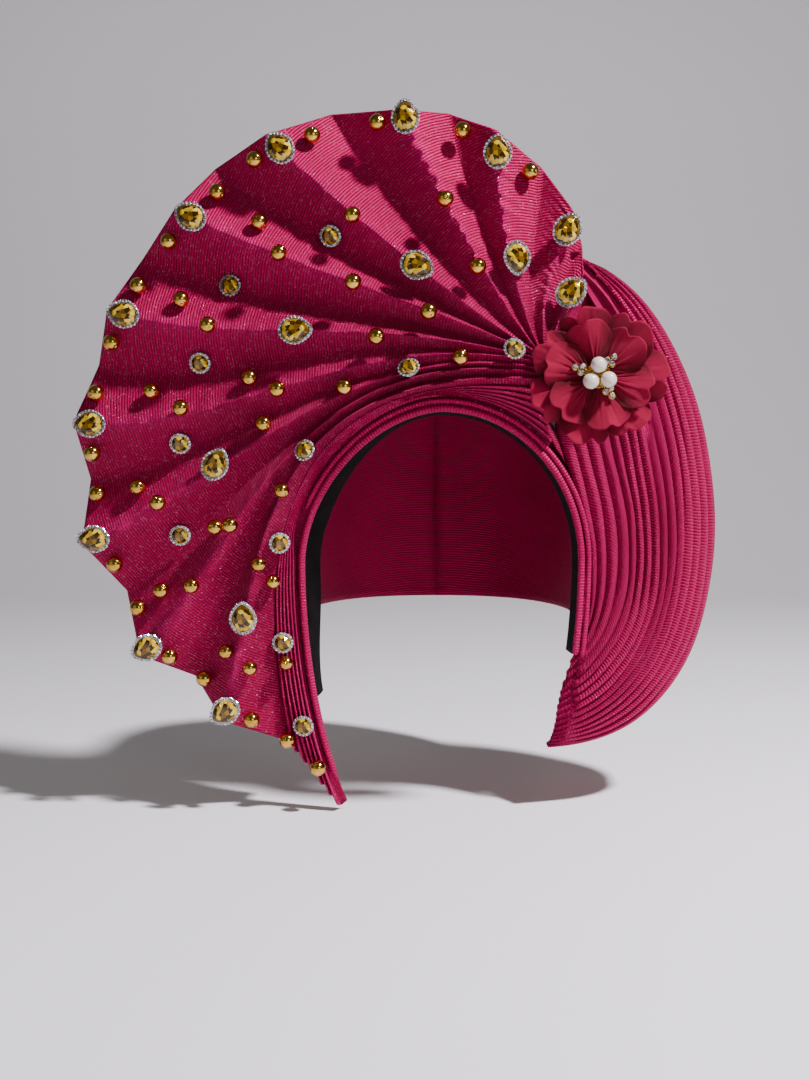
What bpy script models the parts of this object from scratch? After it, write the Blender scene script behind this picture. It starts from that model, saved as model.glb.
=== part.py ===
"""Tied gele head tie: a stiff ribbed cloth, pleated into a wide fan at the viewer's left and top,
wrapped in narrow folds over the forehead and gathered into a wing at the viewer's right.
Metres, +Z up. The face looks to -Y and the viewer's right is +X.
The origin is where the crown of the head touches the inside of the cap."""
import math

import bmesh
import bpy
from mathutils import Matrix, Vector
from mathutils.bvhtree import BVHTree

MM = 0.001

# Cloth and gaps
CLOTH = 2.0 * MM
CHIFFON = 1.2 * MM
GAP = 0.35 * MM
# The back of a pleated wall is its front moved back by this share of the thickness, as the pleats slope
BACK_SHIFT = 1.15

# Hollow for the head: half width, front and back depth, height of the dome over its widest level
HEAD_HALF_WIDTH = 74 * MM
HEAD_FRONT = 84 * MM
HEAD_BACK = 102 * MM
HEAD_DOME = 95 * MM
HEAD_SQUARENESS = 2.3

# Face opening: an arch, rounder over the brow and longer below its widest level
FACE_HALF_WIDTH = 71.5 * MM
FACE_LEVEL = -105 * MM
FACE_RISE = 79 * MM
FACE_FALL = 175 * MM
BROW_BEND_LEFT = 1.12
BROW_BEND_RIGHT = 1.02
BROW_DEPTH = 71 * MM
CHEEK_DEPTH = 50 * MM
TAIL_DEPTH = 43 * MM
BROW_DEPTH_POWER = 1.3

# Fan: the folds leave a gather beside the flower, tucked a little under it, and end at the rim
GATHER = Vector((45 * MM, -91 * MM, 0.0))
GATHER_RADIUS = 2.5 * MM
GATHER_TUCK = 5 * MM
FAN_REACH = 256 * MM
RIM_LEAN = 46 * MM
LEAN_POWER = 1.15
STACK_HEIGHT = 10 * MM
SLOPE_AT_GATHER = 50
SLOPE_AT_RIM = 29
FAN_STEPS = 15
# The rows of points lie closer together near the gather
ROW_CROWDING = 1.3

# One row for each ridge: reach as a share of FAN_REACH, the direction of its rim point seen from the
# gather, the directions in which it leaves the gather and meets the rim (degrees from +X towards +Z),
# how far it holds its first direction, how low it starts as a share of STACK_HEIGHT, and the reach of
# the valley after it against the ridges beside that valley
FAN_RIDGES = (
    # reach, rim_deg, start_deg, end_deg, hold, drop, valley
    (0.190, 60.5, 70, 51, 0.42, 0.00, 1.02),
    (0.295, 75.5, 98, 76, 0.45, 0.00, 1.02),
    (0.449, 99.5, 122, 91, 0.22, 0.00, 1.03),
    (0.550, 118, 133, 116, 0.22, 0.00, 1.025),
    (0.686, 140, 148, 136, 0.24, 0.00, 1.02),
    (0.769, 157, 155, 153, 0.32, 0.00, 1.00),
    (0.854, 173, 166, 163, 0.46, 0.05, 0.985),
    (0.930, 187.5, 167, 174, 0.38, 0.25, 0.975),
    (0.982, 202, 170, 201, 0.40, 0.50, 0.965),
    (0.996, 217, 171, 228, 0.48, 0.75, 0.965),
    (0.964, 229.5, 177, 254, 0.62, 1.00, 1.00),
)
# The row of the valley that ends the fan, where the narrow folds begin
FAN_LAST_EDGE = (0.930, 238, 174, 280, 0.65, 1.40, 1.00)
FAN_END_HOLD = 0.32
LEAN_HOLD = 0.8

# Narrow folds between the fan and the face opening
NARROW_FOLDS = 6
NARROW_SLOPE = 46
NARROW_HEIGHT = 3.5 * MM
TUCK = 0.9 * MM
ROLL_CLEAR = 1.2 * MM
FOLDS_START_DEG = 46
FOLDS_LEAD = 0.75
TAIL_DEG = 226.5

# Rolled hems round the face
FACE_ROLL = 2.0 * MM
BROW_ROLL = 1.5 * MM
ROLL_SIDES = 8
ROLL_STEPS = 26
FACE_ROLL_FROM = 221
BROW_ROLL_FROM = 158
BROW_ROLL_FADE = 21
ROLLS_TO = -16

# Wing: fold lines from a gather at the top or from under the flower to a stack below the cheek
# One row for each line: its share of the way out from the face, then X and Z in mm of where it starts,
# of the two points that it bends towards, and of where it ends
WING_LINES = (
    # share, start_x, start_z, high_x, high_z, low_x, low_z, end_x, end_z, start_y, end_y
    (0.00, 58, -29, 61, -46, 90, -108, 73, -151, -60, -41),
    (0.25, 82, -22, 91, -61, 122, -131, 65, -173, -56, -43),
    (0.50, 98, -12, 110, -62, 142, -156, 62, -187, -59, -44),
    (0.70, 74, 49, 134, 0, 163, -179, 60, -196, -62, -44),
    (1.00, 73, 51, 166, 27, 191, -210, 57, -204, -62, -44),
)
WING_MIDDLE_Y = 11 * MM
WING_DEPTH = 51 * MM
WING_BACK_X = 86 * MM
WING_GATHER = 9 * MM
# The lines beside the face lean forward to lie against the rolled hems
WING_HUG = 22 * MM
WING_HUG_POWER = 4
WING_FRONT_FOLDS = 12
WING_BACK_FOLDS = 3
WING_BACK_TURN = 86
WING_SLOPE = 44
WING_FOLD_LIMIT = 3 * MM
WING_STEPS = 10

# Cap over the crown and the nape
CAP_COLUMNS = 30
CAP_ROWS = 8
CAP_NAPE_RIM = -138 * MM
CAP_OPEN_HALF_DEG = 96
CAP_RIM_CLEAR = 1.4 * MM
CAP_RIM_OUTWARD = 1.5 * MM
CAP_RIM_HOLD = 4

# Black band inside the face opening: how far it shows at the viewer's left and elsewhere
BAND_THICKNESS = 1.5 * MM
BAND_SHOWS_LEFT = 7.0 * MM
BAND_SHOWS = 1.4 * MM
BAND_LEAN = 13 * MM
BAND_UNDER_ROLL = 0.6 * MM
BAND_LEAN_POWER = 1.5
BAND_WIDENS_FROM = 100
BAND_WIDENS_OVER = 60
BAND_FROM = -16
BAND_TO = 204
BAND_STEPS = 24

# Knot of gathered cloth under the flower, out of sight
KNOT = Vector((66 * MM, -58 * MM, -9 * MM))
KNOT_HALF = Vector((21 * MM, 22 * MM, 9 * MM))
KNOT_SIDES = 10
KNOT_RINGS = 6

# Flower and brooch
FLOWER = Vector((75 * MM, -86 * MM, -8.5 * MM))
FLOWER_RADIUS = 36 * MM
FLOWER_HOLE = 4.5 * MM
PETALS = 10
PETAL_NOTCH = 0.13
PETAL_WAVE = 3.2 * MM
PETAL_CUP = 3.0 * MM
PETAL_ROWS = 2
FRONT_LAYER_SHARE = 0.80
FRONT_LAYER_PHASE = 0.8
BROOCH_RADIUS = 6.5 * MM
BROOCH_THICKNESS = 1.6 * MM
PEARL_RADIUS = 3.9 * MM
SPRIG_REACH = 12 * MM
SPRIG_STONE = 1.6 * MM
SPRIG_ARM = 0.7 * MM
SPRIG_TURNS = (20, 130, 235)
# Stones on one sprig: degrees off the sprig, share of its reach
SPRIG_STONES = ((-10, 0.72), (10, 0.72), (0, 1.0))
PEARL_TURNS = (95, 215, 335)
PEARL_RING = 1.18

# Trim on the cloth
BEAD_RADIUS = 4.3 * MM
BEAD_SIDES = 10
BEAD_RINGS = 5
PEAR_LENGTH = 18 * MM
PEAR_WIDTH = 14.5 * MM
PEAR_SIDES = 12
PEAR_NARROWING = 0.34
ROUND_DIAMETER = 11 * MM
ROUND_SIDES = 10
STONE_HEIGHT = 4.0 * MM
SEAT_STEP = 0.2 * MM
# How far to each side the slope of the cloth is taken, in folds and along a fold
NEAR_FOLD = 0.12
NEAR_ALONG = 0.02

# Outlines of a stone with its halo from the back to the table: share of the width, share of the height
PEAR_LEVELS = ((0.96, 0.0), (1.0, 0.42), (0.72, 0.50), (0.68, 0.66), (0.40, 1.0))
ROUND_LEVELS = ((0.96, 0.0), (1.0, 0.42), (0.70, 0.55), (0.36, 1.0))
# Large stones, the first eleven on the rim, one for each ridge. The fold is counted from the first
# ridge, along is the share of the way from the gather to the rim, and tip_deg is where the tip points
PEAR_STONES = (
    # fold, along, tip_deg
    (0, 0.71, 40), (1, 0.85, 62), (2, 0.90, 88), (3, 0.965, 92), (4, 0.94, 125), (5, 0.95, 148),
    (6, 0.955, 165), (7, 0.96, 180), (8, 0.97, 178), (9, 0.975, 205), (10, 0.975, 215),
    (4, 0.46, -25), (6, 0.50, 0), (1.9, 0.48, -90), (7.95, 0.67, 62), (10, 0.77, 92),
)
ROUND_STONES = (
    # fold, along
    (4.40, 0.65), (5.50, 0.75), (6.40, 0.74), (8.60, 0.22), (4.40, 0.08), (7.35, 0.77),
    (8.40, 0.82), (9.95, 0.40), (10.4, 0.58), (10.8, 0.77), (11.15, 0.89),
)
# Gold beads along the rim. Past the last ridge the fold number runs over the narrow folds
RIM_BEADS = (
    # fold, along
    (1.65, 0.91), (2.35, 0.94), (3.20, 0.95), (3.75, 0.94), (4.20, 0.95), (4.70, 0.94), (5.25, 0.96),
    (5.75, 0.96), (6.25, 0.97), (6.75, 0.97), (7.25, 0.97), (7.65, 0.97), (8.25, 0.97), (8.70, 0.97),
    (9.20, 0.97), (9.65, 0.97), (10.2, 0.97), (10.6, 0.97), (11.35, 0.94),
)


def clear_scene():
    for old in list(bpy.data.objects):
        bpy.data.objects.remove(old, do_unlink=True)


def material(name, colour, roughness, metallic=0.0):
    made = bpy.data.materials.new(name)
    made.use_nodes = True
    shader = made.node_tree.nodes["Principled BSDF"]
    shader.inputs["Base Color"].default_value = (*colour, 1.0)
    shader.inputs["Roughness"].default_value = roughness
    shader.inputs["Metallic"].default_value = metallic
    return made


def node(name, vertices, faces, look):
    mesh = bpy.data.meshes.new(name)
    mesh.from_pydata([tuple(v) for v in vertices], [], faces)
    mesh.materials.append(look)
    made = bpy.data.objects.new(name, mesh)
    bpy.context.scene.collection.objects.link(made)
    return made


def mix(a, b, share):
    return a + (b - a) * share


def smooth_step(x):
    x = min(1.0, max(0.0, x))
    return x * x * (3 - 2 * x)


def heading(degrees):
    """A direction in the plane that the viewer sees, from +X towards +Z."""
    angle = math.radians(degrees)
    return Vector((math.cos(angle), 0.0, math.sin(angle)))


def cubic(p0, p1, p2, p3, t):
    s = 1 - t
    return p0 * s ** 3 + p1 * (3 * s * s * t) + p2 * (3 * s * t * t) + p3 * t ** 3


def wall(name, front, back, look):
    """A closed wall from two grids of points; front[row][column] faces the viewer."""
    rows, columns = len(front), len(front[0])
    vertices = [p for line in front for p in line] + [p for line in back for p in line]
    behind = rows * columns
    faces = []
    for r in range(rows - 1):
        for c in range(columns - 1):
            a, b = r * columns + c, r * columns + c + 1
            d, e = a + columns, b + columns
            faces.append((a, b, e, d))
            faces.append((behind + a, behind + d, behind + e, behind + b))
    for c in range(columns - 1):
        a, b = c, c + 1
        faces.append((a, behind + a, behind + b, b))
        a, b = (rows - 1) * columns + c, (rows - 1) * columns + c + 1
        faces.append((a, b, behind + b, behind + a))
    for r in range(rows - 1):
        a, d = r * columns, (r + 1) * columns
        faces.append((a, d, behind + d, behind + a))
        b, e = a + columns - 1, d + columns - 1
        faces.append((b, behind + b, behind + e, e))
    made = node(name, vertices, faces, look)
    face_out(made.data)
    return made


def face_out(mesh):
    """Turns every face outwards."""
    shape = bmesh.new()
    shape.from_mesh(mesh)
    bmesh.ops.recalc_face_normals(shape, faces=shape.faces)
    shape.to_mesh(mesh)
    shape.free()


# Fan
def fan_row(fold):
    """The row for a fold number; halves are valleys. Before the first ridge the table is carried on."""
    last = len(FAN_RIDGES) - 1
    if fold > last:
        return [mix(a, b, 2 * (fold - last)) for a, b in zip(FAN_RIDGES[last], FAN_LAST_EDGE)]
    low = min(last - 1, max(0, math.floor(fold)))
    return [mix(a, b, fold - low) for a, b in zip(FAN_RIDGES[low], FAN_RIDGES[low + 1])]


def fan_line(fold, along):
    """A fold line without its pleat height, from the gather (0) to the rim (1)."""
    reach, rim_deg, start_deg, end_deg, hold, drop, _ = fan_row(fold)
    low = min(len(FAN_RIDGES) - 1, max(0, math.floor(fold)))
    towards_valley = 1 - abs(2 * (fold - low) - 1)
    reach *= mix(1.0, FAN_RIDGES[low][-1], towards_valley)
    start = GATHER + Vector((GATHER_TUCK, 0, 0)) + heading(start_deg) * GATHER_RADIUS
    start.z -= drop * STACK_HEIGHT
    rim = GATHER + heading(rim_deg) * reach * FAN_REACH
    rim.y += RIM_LEAN * min(1.0, reach) ** LEAN_POWER
    span = (rim - start).length
    leave = start + heading(start_deg) * hold * span
    leave.y = mix(start.y, rim.y, hold * LEAN_HOLD)
    arrive = rim - heading(end_deg) * FAN_END_HOLD * span
    arrive.y = mix(start.y, rim.y, 1 - FAN_END_HOLD)
    return cubic(start, leave, arrive, rim, along)


def pleat_height(half_pitch, along):
    return math.tan(math.radians(mix(SLOPE_AT_GATHER, SLOPE_AT_RIM, along))) * half_pitch


def fan_crease(crease, along):
    """A point on a crease; even creases are valleys, odd ones are ridges."""
    fold = crease / 2 - 0.5
    here = fan_line(fold, along)
    half_pitch = (fan_line(fold + 0.5, along) - fan_line(fold - 0.5, along)).length / 2
    side = -0.5 if crease % 2 else 0.5
    here.y += side * pleat_height(half_pitch, along)
    return here


def fan_point(fold, along):
    crease = (fold + 0.5) * 2
    low = math.floor(crease)
    if crease == low:
        return fan_crease(low, along)
    return mix(fan_crease(low, along), fan_crease(low + 1, along), crease - low)


def rows_along():
    return [(step / FAN_STEPS) ** ROW_CROWDING for step in range(FAN_STEPS + 1)]


def build_fan(look):
    creases = 2 * len(FAN_RIDGES) + 1
    front = [[fan_crease(crease, along) for crease in range(creases)] for along in rows_along()]
    back = [[p + Vector((0, CLOTH * BACK_SHIFT, 0)) for p in line] for line in front]
    return wall("fan", front, back, look)


# Face opening
def face_edge(degrees, outward=0.0):
    """A point on the edge of the face opening: 90 is over the brow, 180 the viewer's left."""
    angle = math.radians(degrees)
    across, up = math.cos(angle), math.sin(angle)
    if up > 0:
        bend = BROW_BEND_LEFT if across < 0 else BROW_BEND_RIGHT
        height = FACE_RISE
        depth = mix(CHEEK_DEPTH, BROW_DEPTH, up ** BROW_DEPTH_POWER)
        across, up = math.copysign(abs(across) ** bend, across), up ** bend
    else:
        height = FACE_FALL
        depth = mix(CHEEK_DEPTH, TAIL_DEPTH, -up)
    x = (FACE_HALF_WIDTH + outward) * across
    z = FACE_LEVEL + (height + outward) * up
    return Vector((x, -depth, z))


def rolls_width(degrees):
    """How much of the strip beside the face opening the rolled hems take."""
    brow_share = smooth_step(1 + (BROW_ROLL_FROM - degrees) / BROW_ROLL_FADE)
    return 2 * FACE_ROLL + GAP + brow_share * (2 * BROW_ROLL + GAP)


def folds_turn(along):
    return mix(FOLDS_START_DEG, TAIL_DEG, along ** FOLDS_LEAD)


def narrow_line(share, along):
    """Between the last valley of the fan (0) and the rolled hems (1)."""
    outer = fan_crease(2 * len(FAN_RIDGES), along)
    turn = folds_turn(along)
    inner = face_edge(turn, rolls_width(turn) + ROLL_CLEAR)
    return mix(outer, inner, share)


def tucked_edge(along):
    """The edge of the narrow folds, out of sight behind the rolled hems."""
    here = face_edge(folds_turn(along), FACE_ROLL)
    here.y += FACE_ROLL + TUCK
    return here


def build_forehead_folds(look):
    creases = 2 * NARROW_FOLDS + 1
    front = []
    for along in rows_along():
        width = (narrow_line(1, along) - narrow_line(0, along)).length
        height = math.tan(math.radians(NARROW_SLOPE)) * width / NARROW_FOLDS / 2
        height = min(height, NARROW_HEIGHT)
        line = []
        for crease in range(creases):
            share = mix(GAP / width, 1.0, crease / (creases - 1))
            here = narrow_line(share, along)
            here.y -= height * (crease % 2)
            line.append(here)
        line[-1].y += FACE_ROLL + TUCK
        line.append(tucked_edge(along))
        front.append(line)
    back = [[p + Vector((0, CLOTH * BACK_SHIFT, 0)) for p in line] for line in front]
    return wall("forehead_folds", front, back, look)


def tube(name, path, radius, sides, look):
    """A closed round tube along a path, its section turned with the path."""
    vertices, faces = [], []
    for i, centre in enumerate(path):
        ahead = path[min(i + 1, len(path) - 1)] - path[max(i - 1, 0)]
        ahead.normalize()
        side = ahead.cross(Vector((0, 1, 0))).normalized()
        up = side.cross(ahead)
        for k in range(sides):
            turn = 2 * math.pi * k / sides
            vertices.append(centre + (side * math.cos(turn) + up * math.sin(turn)) * radius)
    for i in range(len(path) - 1):
        for k in range(sides):
            a, b = i * sides + k, i * sides + (k + 1) % sides
            faces.append((a, b, b + sides, a + sides))
    faces.append(tuple(range(sides)))
    last = (len(path) - 1) * sides
    faces.append(tuple(last + k for k in range(sides)))
    made = node(name, vertices, faces, look)
    face_out(made.data)
    return made


def build_rolls(look):
    face_path, brow_path = [], []
    for step in range(ROLL_STEPS + 1):
        share = step / ROLL_STEPS
        face_path.append(face_edge(mix(FACE_ROLL_FROM, ROLLS_TO, share), FACE_ROLL))
        turn = mix(BROW_ROLL_FROM, ROLLS_TO, share)
        offset = 2 * FACE_ROLL + BROW_ROLL + GAP
        brow_path.append(face_edge(turn, offset))
    tube("face_roll", face_path, FACE_ROLL, ROLL_SIDES, look)
    tube("brow_roll", brow_path, BROW_ROLL, ROLL_SIDES, look)


# Wing
def wing_row(share):
    for near, far in zip(WING_LINES, WING_LINES[1:]):
        if share <= far[0]:
            part_way = max(0.0, share - near[0]) / (far[0] - near[0])
            return [mix(a, b, part_way) * MM for a, b in zip(near, far)][1:]
    return [value * MM for value in WING_LINES[-1]][1:]


def wing_line(turn_deg, along):
    """A fold line of the wing: turn -90 lies beside the face, 0 furthest out, 90 at the back."""
    angle = math.radians(turn_deg)
    across, deep = math.cos(angle), math.sin(angle)
    row = wing_row(across if deep < 0 else 1.0)
    start_x, start_z, high_x, high_z, low_x, low_z, end_x, end_z, start_y, end_y = row
    if deep > 0:
        high_x = mix(high_x, WING_BACK_X, 1 - across)
        low_x = mix(low_x, WING_BACK_X, 1 - across)
        start_y += WING_GATHER * deep
        end_y += WING_GATHER * deep
    y = WING_MIDDLE_Y + WING_DEPTH * deep
    hug = WING_HUG * max(0.0, 1 - across) ** WING_HUG_POWER if deep < 0 else 0.0
    start, end = Vector((start_x, start_y, start_z)), Vector((end_x, end_y, end_z))
    return cubic(start, Vector((high_x, y - hug, high_z)), Vector((low_x, y, low_z)), end, along)


def wing_turns():
    """Creases at equal steps outwards in front, then at equal angles round the back."""
    steps = 2 * WING_FRONT_FOLDS
    front = [-math.degrees(math.acos(i / steps)) for i in range(steps)]
    back = [mix(0, WING_BACK_TURN, i / (2 * WING_BACK_FOLDS)) for i in range(2 * WING_BACK_FOLDS + 1)]
    return front + back


def build_wing(look):
    turns = wing_turns()
    front, back = [], []
    for step in range(WING_STEPS + 1):
        along = step / WING_STEPS
        base = [wing_line(turn, along) for turn in turns]
        line, behind = [], []
        for i, here in enumerate(base):
            left, right = base[max(i - 1, 0)], base[min(i + 1, len(base) - 1)]
            across = right - left
            out = Vector((across.y, -across.x, 0)).normalized()
            half_pitch = across.length / 2
            height = math.tan(math.radians(WING_SLOPE)) * min(half_pitch, WING_FOLD_LIMIT)
            if i % 2 == 0:
                height = 0.0
            line.append(here + out * height)
            behind.append(here + out * (height - CLOTH * BACK_SHIFT))
        front.append(line)
        back.append(behind)
    return wall("side_wing", front, back, look)


# Head form
def head_reach(direction, grow):
    """Distance from the middle of the head form to its surface; below the middle its sides run down."""
    wide = abs(direction.x) / (HEAD_HALF_WIDTH + grow)
    deep = abs(direction.y) / ((HEAD_BACK if direction.y > 0 else HEAD_FRONT) + grow)
    high = max(0.0, direction.z) / (HEAD_DOME + grow)
    total = wide ** HEAD_SQUARENESS + deep ** HEAD_SQUARENESS + high ** HEAD_SQUARENESS
    return total ** (-1 / HEAD_SQUARENESS)


def cap_rim(turn_deg, grow):
    """The rim of the cap seen from the middle of the head form: behind the rolled hem round the face,
    then level round the nape. Zero is the front, positive turns towards the viewer's right."""
    side = 1 if turn_deg >= 0 else -1
    from_front = abs(turn_deg)
    middle = Vector((0, 0, -HEAD_DOME))
    corner_deg = math.degrees(math.asin((CAP_NAPE_RIM - FACE_LEVEL) / FACE_FALL))
    if from_front <= CAP_OPEN_HALF_DEG:
        edge_deg = mix(90, corner_deg, from_front / CAP_OPEN_HALF_DEG)
        edge = face_edge(edge_deg if side > 0 else 180 - edge_deg, CAP_RIM_OUTWARD + grow)
        behind = FACE_ROLL + TUCK + CLOTH * BACK_SHIFT + CAP_RIM_CLEAR
        return edge + Vector((0, behind, 0)) - middle
    corner = cap_rim(side * CAP_OPEN_HALF_DEG, grow)
    corner_turn = math.degrees(math.atan2(abs(corner.x), -corner.y))
    share = (from_front - CAP_OPEN_HALF_DEG) / (180 - CAP_OPEN_HALF_DEG)
    turn = math.radians(mix(corner_turn, 180, share))
    flat = Vector((side * math.sin(turn), -math.cos(turn), 0))
    corner_reach = Vector((corner.x, corner.y, 0)).length
    reach = mix(corner_reach, head_reach(flat, grow), smooth_step(share * CAP_RIM_HOLD))
    return flat * reach + Vector((0, 0, CAP_NAPE_RIM)) - middle


def cap_point(turn_deg, share, grow):
    """A point on a line from the crown (0) to the rim of the cap (1)."""
    rim = cap_rim(turn_deg, grow)
    direction = Vector((0, 0, 1)).slerp(rim.normalized(), share)
    reach = mix(head_reach(direction, grow), rim.length, share ** CAP_RIM_HOLD)
    return direction * reach + Vector((0, 0, -HEAD_DOME))


def build_cap(look):
    vertices, faces = [], []
    for grow in (0.0, CLOTH):
        vertices.append(Vector((0, 0, grow)))
        for row in range(1, CAP_ROWS + 1):
            for column in range(CAP_COLUMNS):
                turn = 360 * column / CAP_COLUMNS - 180
                vertices.append(cap_point(turn, row / CAP_ROWS, grow))
    outer = 1 + CAP_ROWS * CAP_COLUMNS
    for column in range(CAP_COLUMNS):
        beside = (column + 1) % CAP_COLUMNS
        faces.append((0, 1 + beside, 1 + column))
        faces.append((outer, outer + 1 + column, outer + 1 + beside))
        for row in range(CAP_ROWS - 1):
            a = 1 + row * CAP_COLUMNS + column
            b = 1 + row * CAP_COLUMNS + beside
            faces.append((a, b, b + CAP_COLUMNS, a + CAP_COLUMNS))
            faces.append((outer + a, outer + a + CAP_COLUMNS, outer + b + CAP_COLUMNS, outer + b))
        a = 1 + (CAP_ROWS - 1) * CAP_COLUMNS + column
        b = 1 + (CAP_ROWS - 1) * CAP_COLUMNS + beside
        faces.append((a, b, outer + b, outer + a))
    made = node("crown_cap", vertices, faces, look)
    face_out(made.data)
    return made


def build_inner_band(look):
    front = []
    for step in range(BAND_STEPS + 1):
        turn = mix(BAND_FROM, BAND_TO, step / BAND_STEPS)
        shows = mix(BAND_SHOWS, BAND_SHOWS_LEFT, smooth_step((turn - BAND_WIDENS_FROM) / BAND_WIDENS_OVER))
        line = []
        for share in (0.0, 0.5, 1.0):
            here = face_edge(turn, mix(BAND_UNDER_ROLL, -shows, share))
            here.y += FACE_ROLL + GAP + BAND_LEAN * share ** BAND_LEAN_POWER
            line.append(here)
        front.append(line)
    back = [[p + Vector((0, BAND_THICKNESS * BACK_SHIFT, 0)) for p in line] for line in front]
    return wall("inner_band", front, back, look)


# Seats
def cloth_tree(*names):
    """A search tree over the faces of the named pieces."""
    bpy.context.view_layer.update()
    depsgraph = bpy.context.evaluated_depsgraph_get()
    vertices, polygons = [], []
    for name in names:
        piece = bpy.data.objects[name]
        mesh = piece.evaluated_get(depsgraph).to_mesh()
        mesh.calc_loop_triangles()
        start = len(vertices)
        vertices += [piece.matrix_world @ v.co for v in mesh.vertices]
        polygons += [tuple(start + i for i in t.vertices) for t in mesh.loop_triangles]
    return BVHTree.FromPolygons(vertices, polygons)


def lift_clear(piece, tree, outward):
    """Slides a piece outwards until it is GAP clear of what the tree holds."""
    bpy.context.view_layer.update()
    mesh = piece.evaluated_get(bpy.context.evaluated_depsgraph_get()).to_mesh()
    mesh.calc_loop_triangles()
    corners = [piece.matrix_world @ v.co for v in mesh.vertices]
    polygons = [tuple(t.vertices) for t in mesh.loop_triangles]

    def touches(lift):
        moved = [v + outward * lift for v in corners]
        return BVHTree.FromPolygons(moved, polygons).overlap(tree)

    lift = 0.0
    while touches(lift) or touches(lift + GAP):
        lift += SEAT_STEP
    piece.matrix_world = Matrix.Translation(outward * (lift + GAP)) @ piece.matrix_world


# Flower and brooch
def petal_point(turn, share, radius, phase):
    """A point of a gathered ring of petals, the ring facing the viewer."""
    lobe = abs(math.cos(PETALS * turn / 2 + phase))
    reach = mix(FLOWER_HOLE, radius * (1 - PETAL_NOTCH * (1 - lobe)), share)
    wave = PETAL_WAVE * share * math.cos(PETALS * turn + 2 * phase)
    cup = PETAL_CUP * share * share
    return FLOWER + Vector((reach * math.cos(turn), -cup - wave, reach * math.sin(turn)))


def build_petals(name, radius, phase, look):
    columns, rows = 4 * PETALS, PETAL_ROWS
    vertices, faces = [], []
    for offset in (0.0, CHIFFON):
        for row in range(rows + 1):
            for column in range(columns):
                turn = 2 * math.pi * column / columns
                here = petal_point(turn, row / rows, radius, phase)
                vertices.append(here + Vector((0, offset, 0)))
    behind = (rows + 1) * columns
    for column in range(columns):
        beside = (column + 1) % columns
        for row in range(rows):
            a, b = row * columns + column, row * columns + beside
            faces.append((a, b, b + columns, a + columns))
            faces.append((behind + a, behind + a + columns, behind + b + columns, behind + b))
        faces.append((column, behind + column, behind + beside, beside))
        a, b = rows * columns + column, rows * columns + beside
        faces.append((a, b, behind + b, behind + a))
    made = node(name, vertices, faces, look)
    face_out(made.data)
    return made


def build_knot(look):
    """A flattened ball of gathered cloth, seated on the cloth behind it."""
    made = ball("gather_knot", KNOT, 1.0, look, KNOT_SIDES, KNOT_RINGS)
    made.data.transform(Matrix.Diagonal((*KNOT_HALF, 1.0)))
    return made


def turned_to(point, normal, tip_deg=90):
    """Places a piece made in its own XY plane: Z along the normal, Y towards the tip direction."""
    z = normal.normalized()
    tip = heading(tip_deg)
    y = (tip - z * tip.dot(z)).normalized()
    x = y.cross(z)
    frame = Matrix((x, y, z)).transposed().to_4x4()
    return Matrix.Translation(point) @ frame


def ball(name, centre, radius, look, sides=BEAD_SIDES, rings=BEAD_RINGS, axis=Vector((0, -1, 0))):
    mesh = bpy.data.meshes.new(name)
    shape = bmesh.new()
    bmesh.ops.create_uvsphere(shape, u_segments=sides, v_segments=rings, radius=radius)
    shape.to_mesh(mesh)
    shape.free()
    mesh.shade_smooth()
    mesh.materials.append(look)
    made = bpy.data.objects.new(name, mesh)
    made.matrix_world = turned_to(centre, axis)
    bpy.context.scene.collection.objects.link(made)
    return made


def pear_outline(length, width, sides):
    """A pear outline with its round end at -Y and its tip at +Y, centred on its length."""
    points = []
    for i in range(sides):
        turn = 2 * math.pi * i / sides - math.pi / 2
        narrow = 1 - PEAR_NARROWING * max(0.0, math.sin(turn)) ** 1.5
        points.append((width / 2 * math.cos(turn) * narrow, length / 2 * math.sin(turn)))
    return points


def round_outline(diameter, sides):
    turns = [2 * math.pi * i / sides for i in range(sides)]
    return [(diameter / 2 * math.cos(t), diameter / 2 * math.sin(t)) for t in turns]


def cut_stone(name, outline, levels, look):
    """A cut stone fused to its halo setting, from the back plate up to the flat table."""
    sides = len(outline)
    vertices = [Vector((x * scale, y * scale, z * STONE_HEIGHT)) for scale, z in levels for x, y in outline]
    faces = []
    for level in range(len(levels) - 1):
        for i in range(sides):
            a, b = level * sides + i, level * sides + (i + 1) % sides
            faces.append((a, b, b + sides, a + sides))
    faces.append(tuple(reversed(range(sides))))
    top = (len(levels) - 1) * sides
    faces.append(tuple(top + i for i in range(sides)))
    made = node(name, vertices, faces, look)
    face_out(made.data)
    return made


def fuse(base, others):
    """Joins overlapping solids into one body."""
    for other in others:
        join = base.modifiers.new("join", "BOOLEAN")
        join.operation = "UNION"
        join.solver = "EXACT"
        join.object = other
        other.hide_render = True
        other.display_type = "WIRE"


def cylinder(name, centre, radius, length, sides, look, axis=Vector((0, -1, 0)), taper=1.0):
    mesh = bpy.data.meshes.new(name)
    shape = bmesh.new()
    bmesh.ops.create_cone(shape, cap_ends=True, segments=sides, radius1=radius, radius2=radius * taper,
                          depth=length)
    shape.to_mesh(mesh)
    shape.free()
    mesh.materials.append(look)
    made = bpy.data.objects.new(name, mesh)
    made.matrix_world = turned_to(centre, axis)
    bpy.context.scene.collection.objects.link(made)
    return made


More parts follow.
